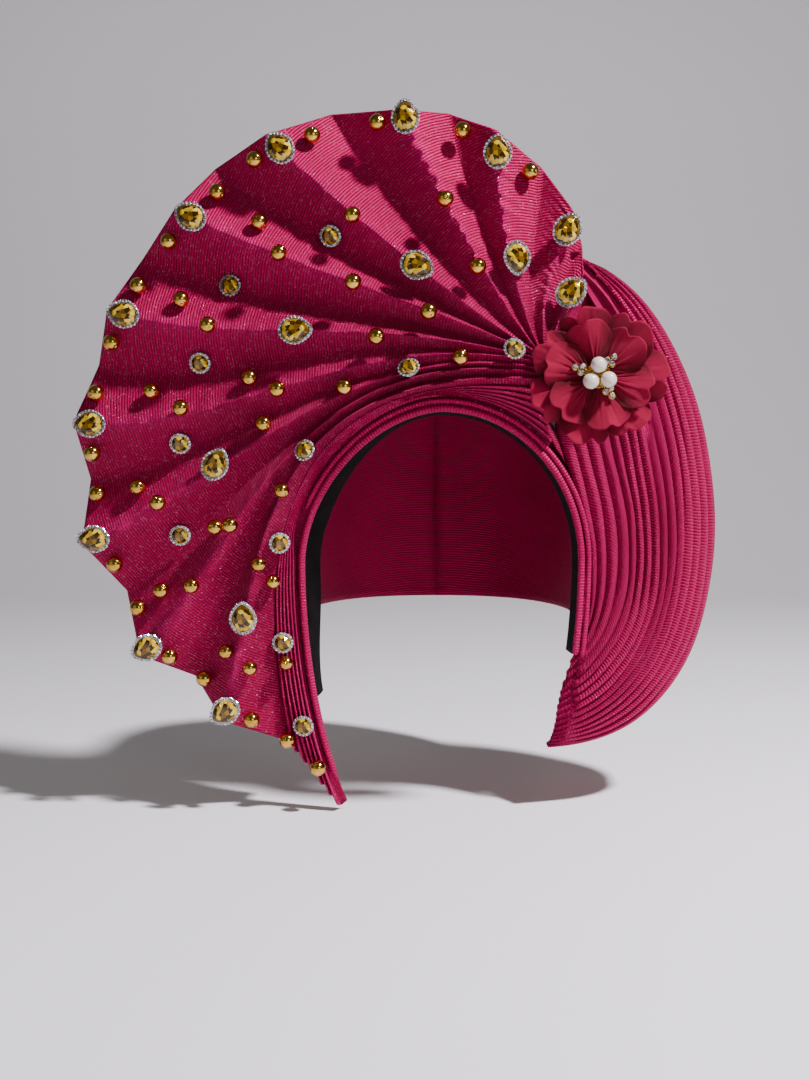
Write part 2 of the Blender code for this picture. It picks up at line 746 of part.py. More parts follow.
def build_brooch(gold):
    """A gold disc with three sprigs of small stones."""
    base = cylinder("brooch_base", FLOWER, BROOCH_RADIUS, BROOCH_THICKNESS, 12, gold)
    pieces = []
    for number, turn in enumerate(SPRIG_TURNS):
        tip = FLOWER + heading(turn) * SPRIG_REACH
        arm = cylinder(f"cut_arm_{number}", (FLOWER + tip) / 2, SPRIG_ARM, SPRIG_REACH, 6, gold, tip - FLOWER)
        pieces.append(arm)
        for k, (bend, reach) in enumerate(SPRIG_STONES):
            spot = FLOWER + heading(turn + bend) * reach * SPRIG_REACH
            stone = cylinder(f"cut_stone_{number}_{k}", spot, SPRIG_STONE, SPRIG_STONE, 8, gold, taper=0.5)
            pieces.append(stone)
    fuse(base, pieces)
    for piece in pieces:
        piece.parent = base
        piece.matrix_parent_inverse = base.matrix_world.inverted()
    return base


def build_pearls(face, pearl):
    lift = BROOCH_THICKNESS / 2 + PEARL_RADIUS + GAP
    for number, turn in enumerate(PEARL_TURNS):
        centre = face + heading(turn) * (PEARL_RADIUS + GAP) * PEARL_RING + Vector((0, -lift, 0))
        ball(f"pearl_{number + 1}", centre, PEARL_RADIUS, pearl)


def build_flower(cloth, chiffon, gold, pearl):
    """Knot, petals, brooch and pearls, each seated on what lies behind it."""
    towards_viewer = Vector((0, -1, 0))
    knot = build_knot(cloth)
    lift_clear(knot, cloth_tree("side_wing", "fan", "forehead_folds", "brow_roll"), towards_viewer)
    rear = build_petals("flower_back_petals", FLOWER_RADIUS, 0.0, chiffon)
    lift_clear(rear, cloth_tree("gather_knot", "side_wing", "fan", "forehead_folds"), towards_viewer)
    near = build_petals("flower_front_petals", FLOWER_RADIUS * FRONT_LAYER_SHARE, FRONT_LAYER_PHASE, chiffon)
    near.matrix_world = rear.matrix_world.copy()
    lift_clear(near, cloth_tree("flower_back_petals"), towards_viewer)
    brooch = build_brooch(gold)
    brooch.matrix_world = near.matrix_world @ brooch.matrix_world
    bpy.context.view_layer.update()
    lift_clear(brooch, cloth_tree("flower_front_petals"), towards_viewer)
    build_pearls(brooch.matrix_world.translation.copy(), pearl)


# Trim
def trim_place(fold, along):
    """Point and outward direction on the cloth at a fold number; past the fan's end it lies on the
    narrow folds."""
    last = len(FAN_RIDGES) - 0.5
    if fold <= last:
        here = fan_point(fold, along)
        beside = fan_point(min(last, fold + NEAR_FOLD), along) - fan_point(fold - NEAR_FOLD, along)
        ahead = fan_point(fold, min(1, along + NEAR_ALONG)) - fan_point(fold, along - NEAR_ALONG)
    else:
        share = fold - last
        here = narrow_line(share, along)
        beside = narrow_line(share + NEAR_FOLD, along) - narrow_line(share - NEAR_FOLD, along)
        ahead = narrow_line(share, min(1, along + NEAR_ALONG)) - narrow_line(share, along - NEAR_ALONG)
    normal = ahead.cross(beside).normalized()
    if normal.y > 0:
        normal.negate()
    return here, (normal + Vector((0, -1.0, 0))).normalized()


def seat_bead(name, fold, along, tree, look):
    here, normal = trim_place(fold, along)
    centre = here + normal * (BEAD_RADIUS + GAP)
    for _ in range(6):
        nearest = tree.find_nearest(centre)
        centre += normal * max(0.0, BEAD_RADIUS + GAP - nearest[3])
    ball(name, centre, BEAD_RADIUS, look, axis=normal)


def seat_stone(name, fold, along, outline, levels, tip_deg, tree, look):
    here, normal = trim_place(fold, along)
    stone = cut_stone(name, outline, levels, look)
    stone.matrix_world = turned_to(here, normal, tip_deg)
    lift_clear(stone, tree, normal)


def build_trim(amber, gold):
    tree = cloth_tree("fan", "forehead_folds", "face_roll")
    pear = pear_outline(PEAR_LENGTH, PEAR_WIDTH, PEAR_SIDES)
    small = round_outline(ROUND_DIAMETER, ROUND_SIDES)
    for number, (fold, along, tip_deg) in enumerate(PEAR_STONES):
        seat_stone(f"stone_{number + 1}", fold, along, pear, PEAR_LEVELS, tip_deg, tree, amber)
    for number, (fold, along) in enumerate(ROUND_STONES):
        seat_stone(f"round_stone_{number + 1}", fold, along, small, ROUND_LEVELS, 90, tree, amber)
    for number, (fold, along) in enumerate(RIM_BEADS):
        seat_bead(f"rim_bead_{number + 1}", fold, along, tree, gold)


def build():
    clear_scene()
    cloth = material("ribbed cloth", (0.60, 0.02, 0.14), 0.45, 0.15)
    black = material("black band", (0.01, 0.01, 0.01), 0.8)
    chiffon = material("chiffon", (0.55, 0.02, 0.12), 0.6)
    gold = material("polished gold", (0.83, 0.60, 0.16), 0.18, 1.0)
    amber = material("amber glass", (0.75, 0.48, 0.03), 0.05)
    pearl = material("pearl", (0.86, 0.80, 0.72), 0.25)
    build_fan(cloth)
    build_forehead_folds(cloth)
    build_rolls(cloth)
    build_wing(cloth)
    build_cap(cloth)
    build_inner_band(black)
    build_flower(cloth, chiffon, gold, pearl)
    build_trim(amber, gold)


build()
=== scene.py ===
# Ready-tied gele: pleated fan, narrow brow folds, side wing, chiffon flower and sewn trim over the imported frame
import math
import bpy
import numpy as np
from mathutils import Matrix, Vector
from mathutils.bvhtree import BVHTree


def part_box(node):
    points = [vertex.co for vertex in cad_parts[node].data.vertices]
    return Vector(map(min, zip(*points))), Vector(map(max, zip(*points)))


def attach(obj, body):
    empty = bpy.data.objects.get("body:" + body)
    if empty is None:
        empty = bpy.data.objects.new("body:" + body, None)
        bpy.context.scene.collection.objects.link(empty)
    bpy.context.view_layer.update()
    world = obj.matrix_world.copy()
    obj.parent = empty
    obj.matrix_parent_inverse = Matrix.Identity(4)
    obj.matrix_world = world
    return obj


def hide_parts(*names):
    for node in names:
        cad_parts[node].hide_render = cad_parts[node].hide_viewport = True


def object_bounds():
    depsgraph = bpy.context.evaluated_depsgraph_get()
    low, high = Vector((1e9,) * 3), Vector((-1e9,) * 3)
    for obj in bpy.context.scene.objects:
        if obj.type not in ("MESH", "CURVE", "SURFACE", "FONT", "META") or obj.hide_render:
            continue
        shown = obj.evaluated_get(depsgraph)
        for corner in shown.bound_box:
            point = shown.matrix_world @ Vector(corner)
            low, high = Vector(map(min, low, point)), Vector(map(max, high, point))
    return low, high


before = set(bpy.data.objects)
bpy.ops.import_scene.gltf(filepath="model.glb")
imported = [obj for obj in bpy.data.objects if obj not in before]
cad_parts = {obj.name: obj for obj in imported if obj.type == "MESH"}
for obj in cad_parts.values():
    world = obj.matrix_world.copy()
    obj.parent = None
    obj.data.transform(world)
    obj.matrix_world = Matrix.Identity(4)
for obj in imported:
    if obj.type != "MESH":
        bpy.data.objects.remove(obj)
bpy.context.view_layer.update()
mm = 0.001
print("frame loaded")

studio = {
    "eye": (-0.0195, -0.835, -0.0365), "tilt": 85.92, "lens": 33.33, "target": (-0.02, 0.0, 0.0),
    "lamps": [  # name, place, size, watts, colour
        ("keyLamp", (0.60, -0.47, 0.86), 0.11, 36, (1.0, 0.95, 1.06)),
        ("fillLamp", (-1.3, -1.3, 0.3), 1.4, 2, (1.0, 0.95, 0.90)),
        ("frontLamp", (0.7, -1.7, 0.3), 0.8, 4, (1.0, 0.97, 0.95)),
    ],
    "air": 0.11, "floorDrop": 0.002, "floorColour": (0.86, 0.85, 0.83),
}

camData = bpy.data.cameras.new("photoView")
camData.sensor_fit, camData.sensor_height, camData.lens = "VERTICAL", 24, studio["lens"]
camData.clip_start = 0.02
cam = bpy.data.objects.new("photoView", camData)
cam.location, cam.rotation_euler = studio["eye"], (math.radians(studio["tilt"]), 0, 0)
bpy.context.scene.collection.objects.link(cam)
bpy.context.scene.camera = cam


# small helpers
def mix(a, b, t):
    return a + (b - a) * t


def ease(x):
    x = np.clip(x, 0.0, 1.0)
    return x * x * (3 - 2 * x)


def heading(deg):  # a direction in the plane that the viewer sees, from +X towards +Z
    rad = np.radians(np.asarray(deg, dtype=float))
    return np.stack([np.cos(rad), np.zeros_like(rad), np.sin(rad)], -1)


def bend(p0, p1, p2, p3, along):  # [line] control points to [along][line] points
    t = np.asarray(along, dtype=float)
    t = (t[:, None] if t.ndim == 1 else t)[..., None]
    s = 1 - t
    return p0 * s ** 3 + p1 * (3 * s * s * t) + p2 * (3 * s * t * t) + p3 * t ** 3


def ripple(seed, run, waves, lines):  # seeded waviness from -1 to 1, as [line][run]
    rng = np.random.default_rng(seed)
    total = np.zeros((lines, len(run)))
    for wave in waves:
        shift, size = rng.uniform(0, 2 * math.pi, lines), rng.uniform(0.5, 1.0, lines)
        total += size[:, None] * np.sin(2 * math.pi * np.asarray(run)[None, :] / wave + shift[:, None])
    return total / len(waves)


def meshFrom(name, points, faces, finishes, rounded=True, uv=None, marks=None, finishOf=None):
    mesh = bpy.data.meshes.new(name)
    mesh.from_pydata(np.asarray(points, dtype=float).tolist(), [], [[int(i) for i in f] for f in faces])
    for finish in finishes:
        mesh.materials.append(finish)
    if uv is not None:
        corner = np.empty(len(mesh.loops), dtype=np.int32)
        mesh.loops.foreach_get("vertex_index", corner)
        layer = mesh.uv_layers.new(name="threads")
        layer.data.foreach_set("uv", np.asarray(uv, dtype=np.float32)[corner].ravel())
    if marks is not None:
        spot = mesh.attributes.new("foldEdge", "FLOAT", "POINT")
        spot.data.foreach_set("value", np.asarray(marks, dtype=np.float32).ravel())
    if finishOf is not None:
        mesh.polygons.foreach_set("material_index", np.asarray(finishOf, dtype=np.int32))
    mesh.polygons.foreach_set("use_smooth", [rounded] * len(mesh.polygons))
    mesh.update()
    return mesh


def setDown(name, mesh, nodes=(), matrix=None):  # shows a mesh as a piece of the object
    piece = bpy.data.objects.new(name, mesh)
    if matrix is not None:
        piece.matrix_world = matrix
    bpy.context.scene.collection.objects.link(piece)
    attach(piece, "root")
    if nodes:
        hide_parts(*nodes)
    return piece


def gridFaces(rows, cols, ring=False):
    faces = []
    for r in range(rows - 1):
        for c in range(cols if ring else cols - 1):
            a, b = r * cols + c, r * cols + (c + 1) % cols
            faces.append((a, b, b + cols, a + cols))
    return faces


def closedTube(rings, sides):  # a grid of rings with a face at each end
    ends = [tuple(range(sides))[::-1], tuple((rings - 1) * sides + k for k in range(sides))]
    return gridFaces(rings, sides, ring=True) + ends


def threadMap(across, along, rows, cols):
    return np.stack([np.broadcast_to(across, (rows, cols)), np.broadcast_to(along, (rows, cols))], -1).reshape(-1, 2)


def giveWall(piece, thick):
    wall = piece.modifiers.new("thickness", "SOLIDIFY")
    wall.thickness, wall.offset = thick, -1.0
    return piece


def runAlong(grid):  # thread length down each column, from the first row
    step = np.linalg.norm(np.diff(grid, axis=0), axis=-1)
    return np.vstack([np.zeros(grid.shape[1]), np.cumsum(step, axis=0)])


def clothSheet(name, grid, finish, nodes, thick, marks=None, widest=-1, run=None):
    # grid[down the fold][across]; v runs down the fold, u is measured across at the widest row
    rows, cols = grid.shape[:2]
    across = np.linalg.norm(np.diff(grid[widest], axis=0), axis=-1)
    u = np.concatenate([[0.0], np.cumsum(across)])
    run = runAlong(grid) if run is None else run
    uv = threadMap(u, run, rows, cols)
    flat = None if marks is None else np.broadcast_to(marks, (rows, cols)).reshape(-1)
    mesh = meshFrom(name, grid.reshape(-1, 3), gridFaces(rows, cols), [finish], uv=uv, marks=flat)
    lean = sum(side.normal.y * side.area for side in mesh.polygons)
    if lean > 0 and name != "capCloth":  # the crown's front and back cancel out, and it faces out as laid
        mesh.flip_normals()
    return giveWall(setDown(name, mesh, nodes), thick)


# finishes
def newFinish(name, **sockets):
    finish = bpy.data.materials.new(name)
    finish.use_nodes = True
    shader = finish.node_tree.nodes["Principled BSDF"]
    for key, value in sockets.items():
        shader.inputs[key.replace("_", " ")].default_value = value
    return finish, finish.node_tree, shader


def put(tree, kind, inputs, out=0, **settings):  # adds a node, fills its inputs and gives one output
    made = tree.nodes.new(kind)
    for key, value in settings.items():
        setattr(made, key, value)
    for where, value in inputs.items():
        if isinstance(value, bpy.types.NodeSocket):
            tree.links.new(value, made.inputs[where])
        else:
            made.inputs[where].default_value = value
    return made.outputs[out]


def sums(tree, operation, a, b=0.0):
    return put(tree, "ShaderNodeMath", {0: a, 1: b}, operation=operation)


def ramp(tree, amount, stops):
    made = tree.nodes.new("ShaderNodeValToRGB")
    tree.links.new(amount, made.inputs[0])
    band = made.color_ramp
    band.elements[0].position, band.elements[0].color = stops[0][0], (*stops[0][1], 1)
    band.elements[1].position, band.elements[1].color = stops[-1][0], (*stops[-1][1], 1)
    for place, colour in stops[1:-1]:
        band.elements.new(place).color = (*colour, 1)
    return made.outputs[0]


def colourMix(tree, amount, a, b):
    return put(tree, "ShaderNodeMix", {0: amount, 6: a if isinstance(a, bpy.types.NodeSocket) else (*a, 1),
                                       7: b if isinstance(b, bpy.types.NodeSocket) else (*b, 1)},
               out=2, data_type="RGBA")


def noise(tree, where, scale, detail=2.0):
    return put(tree, "ShaderNodeTexNoise", {"Vector": where, "Scale": scale, "Detail": detail})


def bumpInto(tree, shader, height, distance, strength=1.0):
    tree.links.new(put(tree, "ShaderNodeBump", {"Strength": strength, "Distance": distance, "Height": height}),
                   shader.inputs["Normal"])


def plus(tree, a, b):
    return sums(tree, "ADD", a, b)


def times(tree, a, b):
    return sums(tree, "MULTIPLY", a, b)


def feed(tree, shader, socket, amount):
    tree.links.new(amount, shader.inputs[socket])


def spotOn(tree):  # the place on the object, in metres
    return put(tree, "ShaderNodeTexCoord", {}, out=3)


def threadsOf(tree):  # how far across the cloth and how far along it
    split = tree.nodes.new("ShaderNodeSeparateXYZ")
    tree.links.new(put(tree, "ShaderNodeUVMap", {}, uv_map="threads"), split.inputs[0])
    return split.outputs[0], split.outputs[1]


def foldEdge(tree):
    return put(tree, "ShaderNodeAttribute", {}, out=2, attribute_name="foldEdge")


def cells(tree, where, size):  # two random amounts for each small cell
    split = tree.nodes.new("ShaderNodeSeparateColor")
    tree.links.new(put(tree, "ShaderNodeTexVoronoi", {"Vector": where, "Scale": 1 / size}, out=1), split.inputs[0])
    return split.outputs[0], split.outputs[1]


def weave(tree, pitch):  # crossed threads
    across, along = [sums(tree, "SINE", times(tree, way, 2 * math.pi / pitch)) for way in threadsOf(tree)]
    return times(tree, across, along)


def clouded(tree, shader, cloud, stops, swing, rough):  # one noise for both the colour and the roughness
    feed(tree, shader, "Base Color", ramp(tree, cloud, stops))
    feed(tree, shader, "Roughness", plus(tree, times(tree, cloud, swing), rough))


ribbedLook = {
    "ribPitch": 1.5 * mm, "ribDepth": 0.32 * mm, "ribRound": 0.55, "ribTone": 0.7, "waver": 0.7, "waverScale": 70.0,
    "threadPitch": 0.5 * mm, "threadShare": 0.12, "patchScale": 16.0, "patchTone": 0.45, "patchRough": 0.16,
    "lit": (0.38, 0.0, 0.066), "deep": (0.075, 0.0, 0.003), "ridgeHighlight": (0.60, 0.008, 0.17), "ridgeHighlightShare": 0.55,
    "glitter": (1.0, 0.42, 0.66), "glitterSize": 0.36 * mm, "glitterShare": 0.965, "glitterMix": 0.34,
    "glitterShine": 0.25, "roughness": 0.44, "metallic": 0.30, "specular": 0.12, "sheen": 0.03,
    "sheenRough": 0.45, "sheenTint": (1.0, 0.30, 0.62, 1),
}


def ribbedFinish(name, **changes):
    look = {**ribbedLook, **changes}
    finish, tree, shader = newFinish(name, Metallic=look["metallic"], Sheen_Weight=look["sheen"],
                                     Sheen_Roughness=look["sheenRough"], Sheen_Tint=look["sheenTint"],
                                     Specular_IOR_Level=look["specular"])
    across, along = threadsOf(tree)
    place = spotOn(tree)
    run = plus(tree, along, times(tree, noise(tree, place, look["waverScale"]), look["waver"] * look["ribPitch"]))
    rib = sums(tree, "ABSOLUTE", sums(tree, "SINE", times(tree, run, math.pi / look["ribPitch"])))
    rib = sums(tree, "POWER", rib, look["ribRound"])
    thread = sums(tree, "SINE", times(tree, across, 2 * math.pi / look["threadPitch"]))
    bumpInto(tree, shader, plus(tree, rib, times(tree, thread, look["threadShare"])), look["ribDepth"])
    patch = noise(tree, place, look["patchScale"], 4.0)  # dye a little deeper here and there
    # rib grooves painted darker and rib tops paler (painted shade), mixed with patches of deeper dye
    tone = plus(tree, times(tree, rib, look["ribTone"]), times(tree, patch, look["patchTone"]))
    dyeAndPaintedLight = ramp(tree, tone, [(0.30, look["deep"]), (0.95, look["lit"])])
    # fold crests painted paler in patches along them: a painted highlight
    ridgeHighlight = times(tree, foldEdge(tree), times(tree, patch, look["ridgeHighlightShare"]))
    dyeAndPaintedLight = colourMix(tree, ridgeHighlight, dyeAndPaintedLight, look["ridgeHighlight"])
    # pale pink specks where the metallic threads catch the light: painted glints, with a lower roughness
    spark = sums(tree, "GREATER_THAN", cells(tree, place, look["glitterSize"])[0], look["glitterShare"])
    feed(tree, shader, "Base Color", colourMix(tree, times(tree, spark, look["glitterMix"]), dyeAndPaintedLight, look["glitter"]))
    rough = plus(tree, times(tree, patch, look["patchRough"]), look["roughness"] - look["patchRough"] / 2)
    feed(tree, shader, "Roughness", sums(tree, "SUBTRACT", rough, times(tree, spark, look["glitterShine"])))
    return finish


def chiffonFinish():
    look = {"lit": (0.25, 0.0, 0.026), "deep": (0.07, 0.0, 0.004), "weave": 0.34 * mm, "depth": 0.05 * mm,
            "crepe": 1.2, "cloudTone": 0.5, "crestLightTone": 0.6}
    finish, tree, shader = newFinish("roseChiffon", Roughness=0.65, Sheen_Weight=0.03, Sheen_Roughness=0.4,
                                     Sheen_Tint=(1.0, 0.25, 0.5, 1), Specular_IOR_Level=0.15)
    place = spotOn(tree)
    crepe = times(tree, noise(tree, place, 900.0), look["crepe"])
    bumpInto(tree, shader, plus(tree, weave(tree, look["weave"]), crepe), look["depth"])
    # lighter where the petals are marked: painted light on the crests and painted shade in the troughs and centre, over
    # random clouding of the dye
    cloud = times(tree, noise(tree, place, 60.0, 4.0), look["cloudTone"])
    tone = plus(tree, cloud, times(tree, foldEdge(tree), look["crestLightTone"]))
    feed(tree, shader, "Base Color", ramp(tree, tone, [(0.2, look["deep"]), (0.75, look["lit"])]))
    return finish


def bandFinish():
    look = {"lit": (0.008, 0.006, 0.007), "deep": (0.002, 0.0015, 0.002), "weave": 0.8 * mm, "depth": 0.12 * mm}
    finish, tree, shader = newFinish("blackGripBand", Specular_IOR_Level=0.08)
    bumpInto(tree, shader, weave(tree, look["weave"]), look["depth"])
    clouded(tree, shader, noise(tree, spotOn(tree), 120.0, 4.0), [(0.3, look["deep"]), (0.7, look["lit"])], 0.2, 0.7)
    return finish


def metalFinish(name, dark, bright, rough, scratch):
    finish, tree, shader = newFinish(name, Metallic=1.0)
    place = spotOn(tree)
    clouded(tree, shader, noise(tree, place, 160.0, 4.0), [(0.3, dark), (0.7, bright)], 0.14, rough)
    bumpInto(tree, shader, noise(tree, place, 2600.0), scratch)
    return finish


def amberFinish():
    look = {"facet": 2.1 * mm, "depth": 0.12 * mm, "dark": (0.028, 0.012, 0.0), "body": (0.15, 0.075, 0.001),
            "warm": (0.32, 0.17, 0.003), "glint": (0.80, 0.56, 0.03)}
    finish, tree, shader = newFinish("amberGlass", IOR=1.55, Metallic=0.25, Coat_Weight=0.25, Coat_Roughness=0.02,
                                     Specular_IOR_Level=0.4)
    place = spotOn(tree)
    tone, tilt = cells(tree, place, look["facet"])
    # random facet cells from dark to bright yellow: painted reflections and glints inside the stone, round its own
    # amber body colour
    stops = [(0.18, look["dark"]), (0.5, look["body"]), (0.72, look["warm"]), (0.92, look["glint"])]
    feed(tree, shader, "Base Color", ramp(tree, tone, stops))
    feed(tree, shader, "Roughness", plus(tree, times(tree, noise(tree, place, 500.0), 0.06), 0.03))
    bumpInto(tree, shader, tilt, look["depth"])
    return finish


def crystalFinish():
    finish, tree, shader = newFinish("clearCrystal", IOR=1.6, Metallic=0.55, Coat_Weight=1.0, Coat_Roughness=0.0)
    # random dark and pale patches: painted facet reflections
    clouded(tree, shader, noise(tree, spotOn(tree), 900.0, 1.0),
            [(0.38, (0.10, 0.10, 0.11)), (0.62, (0.85, 0.85, 0.88))], 0.12, 0.0)
    return finish


def pearlFinish():
    finish, tree, shader = newFinish("ivoryPearl", Coat_Weight=0.8, Coat_Roughness=0.06, Subsurface_Weight=0.15,
                                     Subsurface_Scale=0.003, Sheen_Weight=0.2)
    place = spotOn(tree)
    clouded(tree, shader, noise(tree, place, 130.0, 3.0),
            [(0.3, (0.50, 0.40, 0.33)), (0.55, (0.68, 0.60, 0.51)), (0.75, (0.74, 0.64, 0.60))], 0.10, 0.16)
    bumpInto(tree, shader, noise(tree, place, 700.0), 0.01 * mm)
    return finish


ribbedCloth = ribbedFinish("ribbedMetallicCloth")
ribbedWing = ribbedFinish("ribbedWingCloth", ribPitch=1.6 * mm, ribDepth=0.62 * mm, ribTone=0.85, glitterMix=0.15)
ribbedRoll = ribbedFinish("ribbedRollCloth", ribPitch=1.6 * mm, ribDepth=0.30 * mm, ribTone=0.85, glitterMix=0.12)
ribbedPlain = ribbedFinish("ribbedCrownCloth", glitterMix=0.10)
roseChiffon = chiffonFinish()
blackGrip = bandFinish()
polishedGold = metalFinish("polishedGold", (0.42, 0.23, 0.03), (0.72, 0.45, 0.09), 0.07, 0.006 * mm)
brightSilver = metalFinish("brightSilver", (0.30, 0.29, 0.28), (0.66, 0.64, 0.60), 0.16, 0.008 * mm)
amberGlass = amberFinish()
clearCrystal = crystalFinish()
ivoryPearl = pearlFinish()
print("finishes mixed")

# pleated fan
gather = np.array([45, -91, 0]) * mm
fan = {
    "reach": 256, "rimLean": 46, "leanPower": 1.15, "tuck": 5, "gatherRadius": 2.5, "stack": 10,
    "slopeAtGather": 50, "slopeAtRim": 29, "endHold": 0.32, "leanHold": 0.8,
    "perFacet": 8, "rows": 150, "crowding": 1.2, "thick": 1.0, "flap": (17, 30, 8), "flapColumns": 7,
    "hollow": 0.5, "buckle": 1.8, "buckleWaves": (0.037, 0.021, 0.013), "waver": 0.5, "waverWaves": (0.055, 0.024),
    "fullWidth": 22, "fadeOver": 0.30, "flapBow": 4, "flapFade": 0.2, "ridgeHighlightPower": 8, "seed": 4,
    "ridges": [  # reach, rimDeg, startDeg, endDeg, hold, drop, valley
        (0.190, 60.5, 70, 51, 0.42, 0, 1.02), (0.295, 75.5, 98, 76, 0.45, 0, 1.02),
        (0.449, 99.5, 122, 91, 0.22, 0, 1.03), (0.550, 118, 133, 116, 0.22, 0, 1.025),
        (0.686, 140, 148, 136, 0.24, 0, 1.02), (0.769, 157, 155, 153, 0.32, 0, 1.00),
        (0.854, 173, 166, 163, 0.46, 0.05, 0.985), (0.930, 187.5, 167, 174, 0.38, 0.25, 0.975),
        (0.982, 202, 170, 201, 0.40, 0.50, 0.965), (0.996, 217, 171, 228, 0.48, 0.75, 0.965),
        (0.964, 229.5, 177, 254, 0.62, 1.00, 1.00),
    ],
    "lastEdge": (0.930, 238, 174, 280, 0.65, 1.40, 1.00),
}


def fanLines(fold, along):  # fold lines without pleat height, as [along][fold]
    fold = np.asarray(fold, dtype=float)
    table = np.array(fan["ridges"] + [fan["lastEdge"]])
    last = len(table) - 2
    row = np.stack([np.interp(fold, [*range(last + 1), last + 0.5], table[:, k]) for k in range(7)], -1)
    row += np.minimum(fold, 0)[:, None] * (table[1] - table[0])
    row += 2 * np.maximum(fold - last - 0.5, 0)[:, None] * (table[-1] - table[-2])
    reach, rimDeg, startDeg, endDeg, hold, drop = row.T[:6]
    low = np.clip(np.floor(fold), 0, last).astype(int)
    reach = reach * mix(1.0, table[low, 6], 1 - np.abs(2 * (fold - low) - 1))
    start = gather + np.array([fan["tuck"] * mm, 0, 0]) + heading(startDeg) * fan["gatherRadius"] * mm
    start[:, 2] -= drop * fan["stack"] * mm
    rim = gather + heading(rimDeg) * (reach * fan["reach"] * mm)[:, None]
    rim[:, 1] += fan["rimLean"] * mm * np.minimum(1, reach) ** fan["leanPower"]
    span = np.linalg.norm(rim - start, axis=1)[:, None]
    leave = start + heading(startDeg) * hold[:, None] * span
    leave[:, 1] = mix(start[:, 1], rim[:, 1], hold * fan["leanHold"])
    arrive = rim - heading(endDeg) * fan["endHold"] * span
    arrive[:, 1] = mix(start[:, 1], rim[:, 1], 1 - fan["endHold"])
    return bend(start, leave, arrive, rim, along)


def fanCreases(along, count=23):  # even creases are valleys, odd ones are ridges
    along = np.asarray(along, dtype=float)
    fold = np.arange(count) / 2 - 0.5
    here = fanLines(fold, along)
    half = np.linalg.norm(fanLines(fold + 0.5, along) - fanLines(fold - 0.5, along), axis=-1) / 2
    slope = np.tan(np.radians(mix(fan["slopeAtGather"], fan["slopeAtRim"], along)))[:, None]
    here[..., 1] += np.where(np.arange(count) % 2, -0.5, 0.5) * slope * half
    return here


def buildFan():
    ridges = len(fan["ridges"])
    along = np.linspace(0, 1, fan["rows"]) ** fan["crowding"]
    creases = fanCreases(along)
    at = np.arange(2 * ridges * fan["perFacet"] + 1) / fan["perFacet"]
    low = np.minimum(at.astype(int), 2 * ridges - 1)
    grid = mix(creases[:, low], creases[:, low + 1], (at - low)[:, None])
    hill = 1 - np.abs(at % 2 - 1)
    ridge = np.minimum(at.astype(int) // 2, ridges - 1)
    run = along * fan["reach"] * mm
    fade = ease(along / fan["fadeOver"])[:, None]
    side = creases[:, 2::2] - creases[:, :-1:2]
    width = np.linalg.norm(side, axis=-1)[:, ridge]
    room = np.minimum(1.0, width / (fan["fullWidth"] * mm))
    wave = 0.5 + 0.5 * ripple(fan["seed"], run, fan["buckleWaves"], ridges)[ridge].T
    grid[..., 1] += fan["buckle"] * mm * wave * hill ** 2 * fade * room
    grid[..., 1] += fan["hollow"] * mm * 4 * hill * (1 - hill) * fade
    side = (side / np.linalg.norm(side, axis=-1, keepdims=True))[:, ridge]
    drift = ripple(fan["seed"] + 1, run, fan["waverWaves"], ridges)[ridge].T
    grid += side * (fan["waver"] * mm * drift * hill ** 1.5 * fade * room)[..., None]
    # the first edge runs on behind, towards the wing
    share = np.linspace(1, 0, fan["flapColumns"], endpoint=False)
    flap = np.array(fan["flap"]) * mm * fade
    behind = grid[:, :1] + flap[:, None] * share[None, :, None]
    behind[..., 0] -= fan["flapBow"] * mm * np.sin(math.pi * share)[None] * ease(along / fan["flapFade"])[:, None]
    grid = np.concatenate([behind, grid], axis=1)
    # the ridge crests are marked for the painted highlight
    marks = np.concatenate([0 * share, hill ** fan["ridgeHighlightPower"]])
    return clothSheet("fanCloth", grid, ribbedCloth, ["fan"], fan["thick"] * mm, marks=marks)


fanCloth = buildFan()

# face opening, brow folds and rolled hems
face = {"halfWidth": 71.5, "level": -105, "rise": 79, "fall": 175, "bendLeft": 1.12, "bendRight": 1.02,
        "brow": 71, "cheek": 50, "tail": 43, "browPower": 1.3}
rolls = {"radius": 2.0, "browRadius": 1.5, "gap": 0.35, "tuck": 0.9, "from": 221, "browFrom": 158, "browFade": 21,
         "to": -16, "ribPitch": 1.6, "ribDepth": 0.36, "ringsPerRib": 4, "sides": 14,
         "tailTaper": 13, "endTaper": 2.5, "lap": 0.07, "lapAt": 4.4, "lapWide": 0.5}
browFolds = {"folds": 6, "slope": 46, "height": 3.5, "clear": 1.2, "startDeg": 46, "lead": 0.75, "tailDeg": 226.5,
             "perFold": 10, "rows": 170, "crowding": 1.2, "round": 0.6, "stand": 1.45, "groove": 2.0, "under": 1.6,
             "thick": 1.0, "length": 0.36, "drift": 0.012, "driftWaves": (0.09, 0.035),
             "sink": 0.18, "sinkWaves": (0.028, 0.015), "seed": 11}


def faceEdge(deg, outward=0.0):  # 90 is over the brow, 180 the viewer's left; outward in mm
    rad = np.radians(np.asarray(deg, dtype=float))
    across, up = np.cos(rad), np.sin(rad)
    high = np.clip(up, 0, 1)
    power = np.where(across < 0, face["bendLeft"], face["bendRight"])
    depth = np.where(up > 0, mix(face["cheek"], face["brow"], high ** face["browPower"]),
                     mix(face["cheek"], face["tail"], np.clip(-up, 0, 1)))
    height = np.where(up > 0, face["rise"], face["fall"])
    x = np.where(up > 0, np.sign(across) * np.abs(across) ** power, across) * (face["halfWidth"] + outward)
    z = face["level"] + (height + outward) * np.where(up > 0, high ** power, up)
    return np.stack([x, -depth, z], -1) * mm


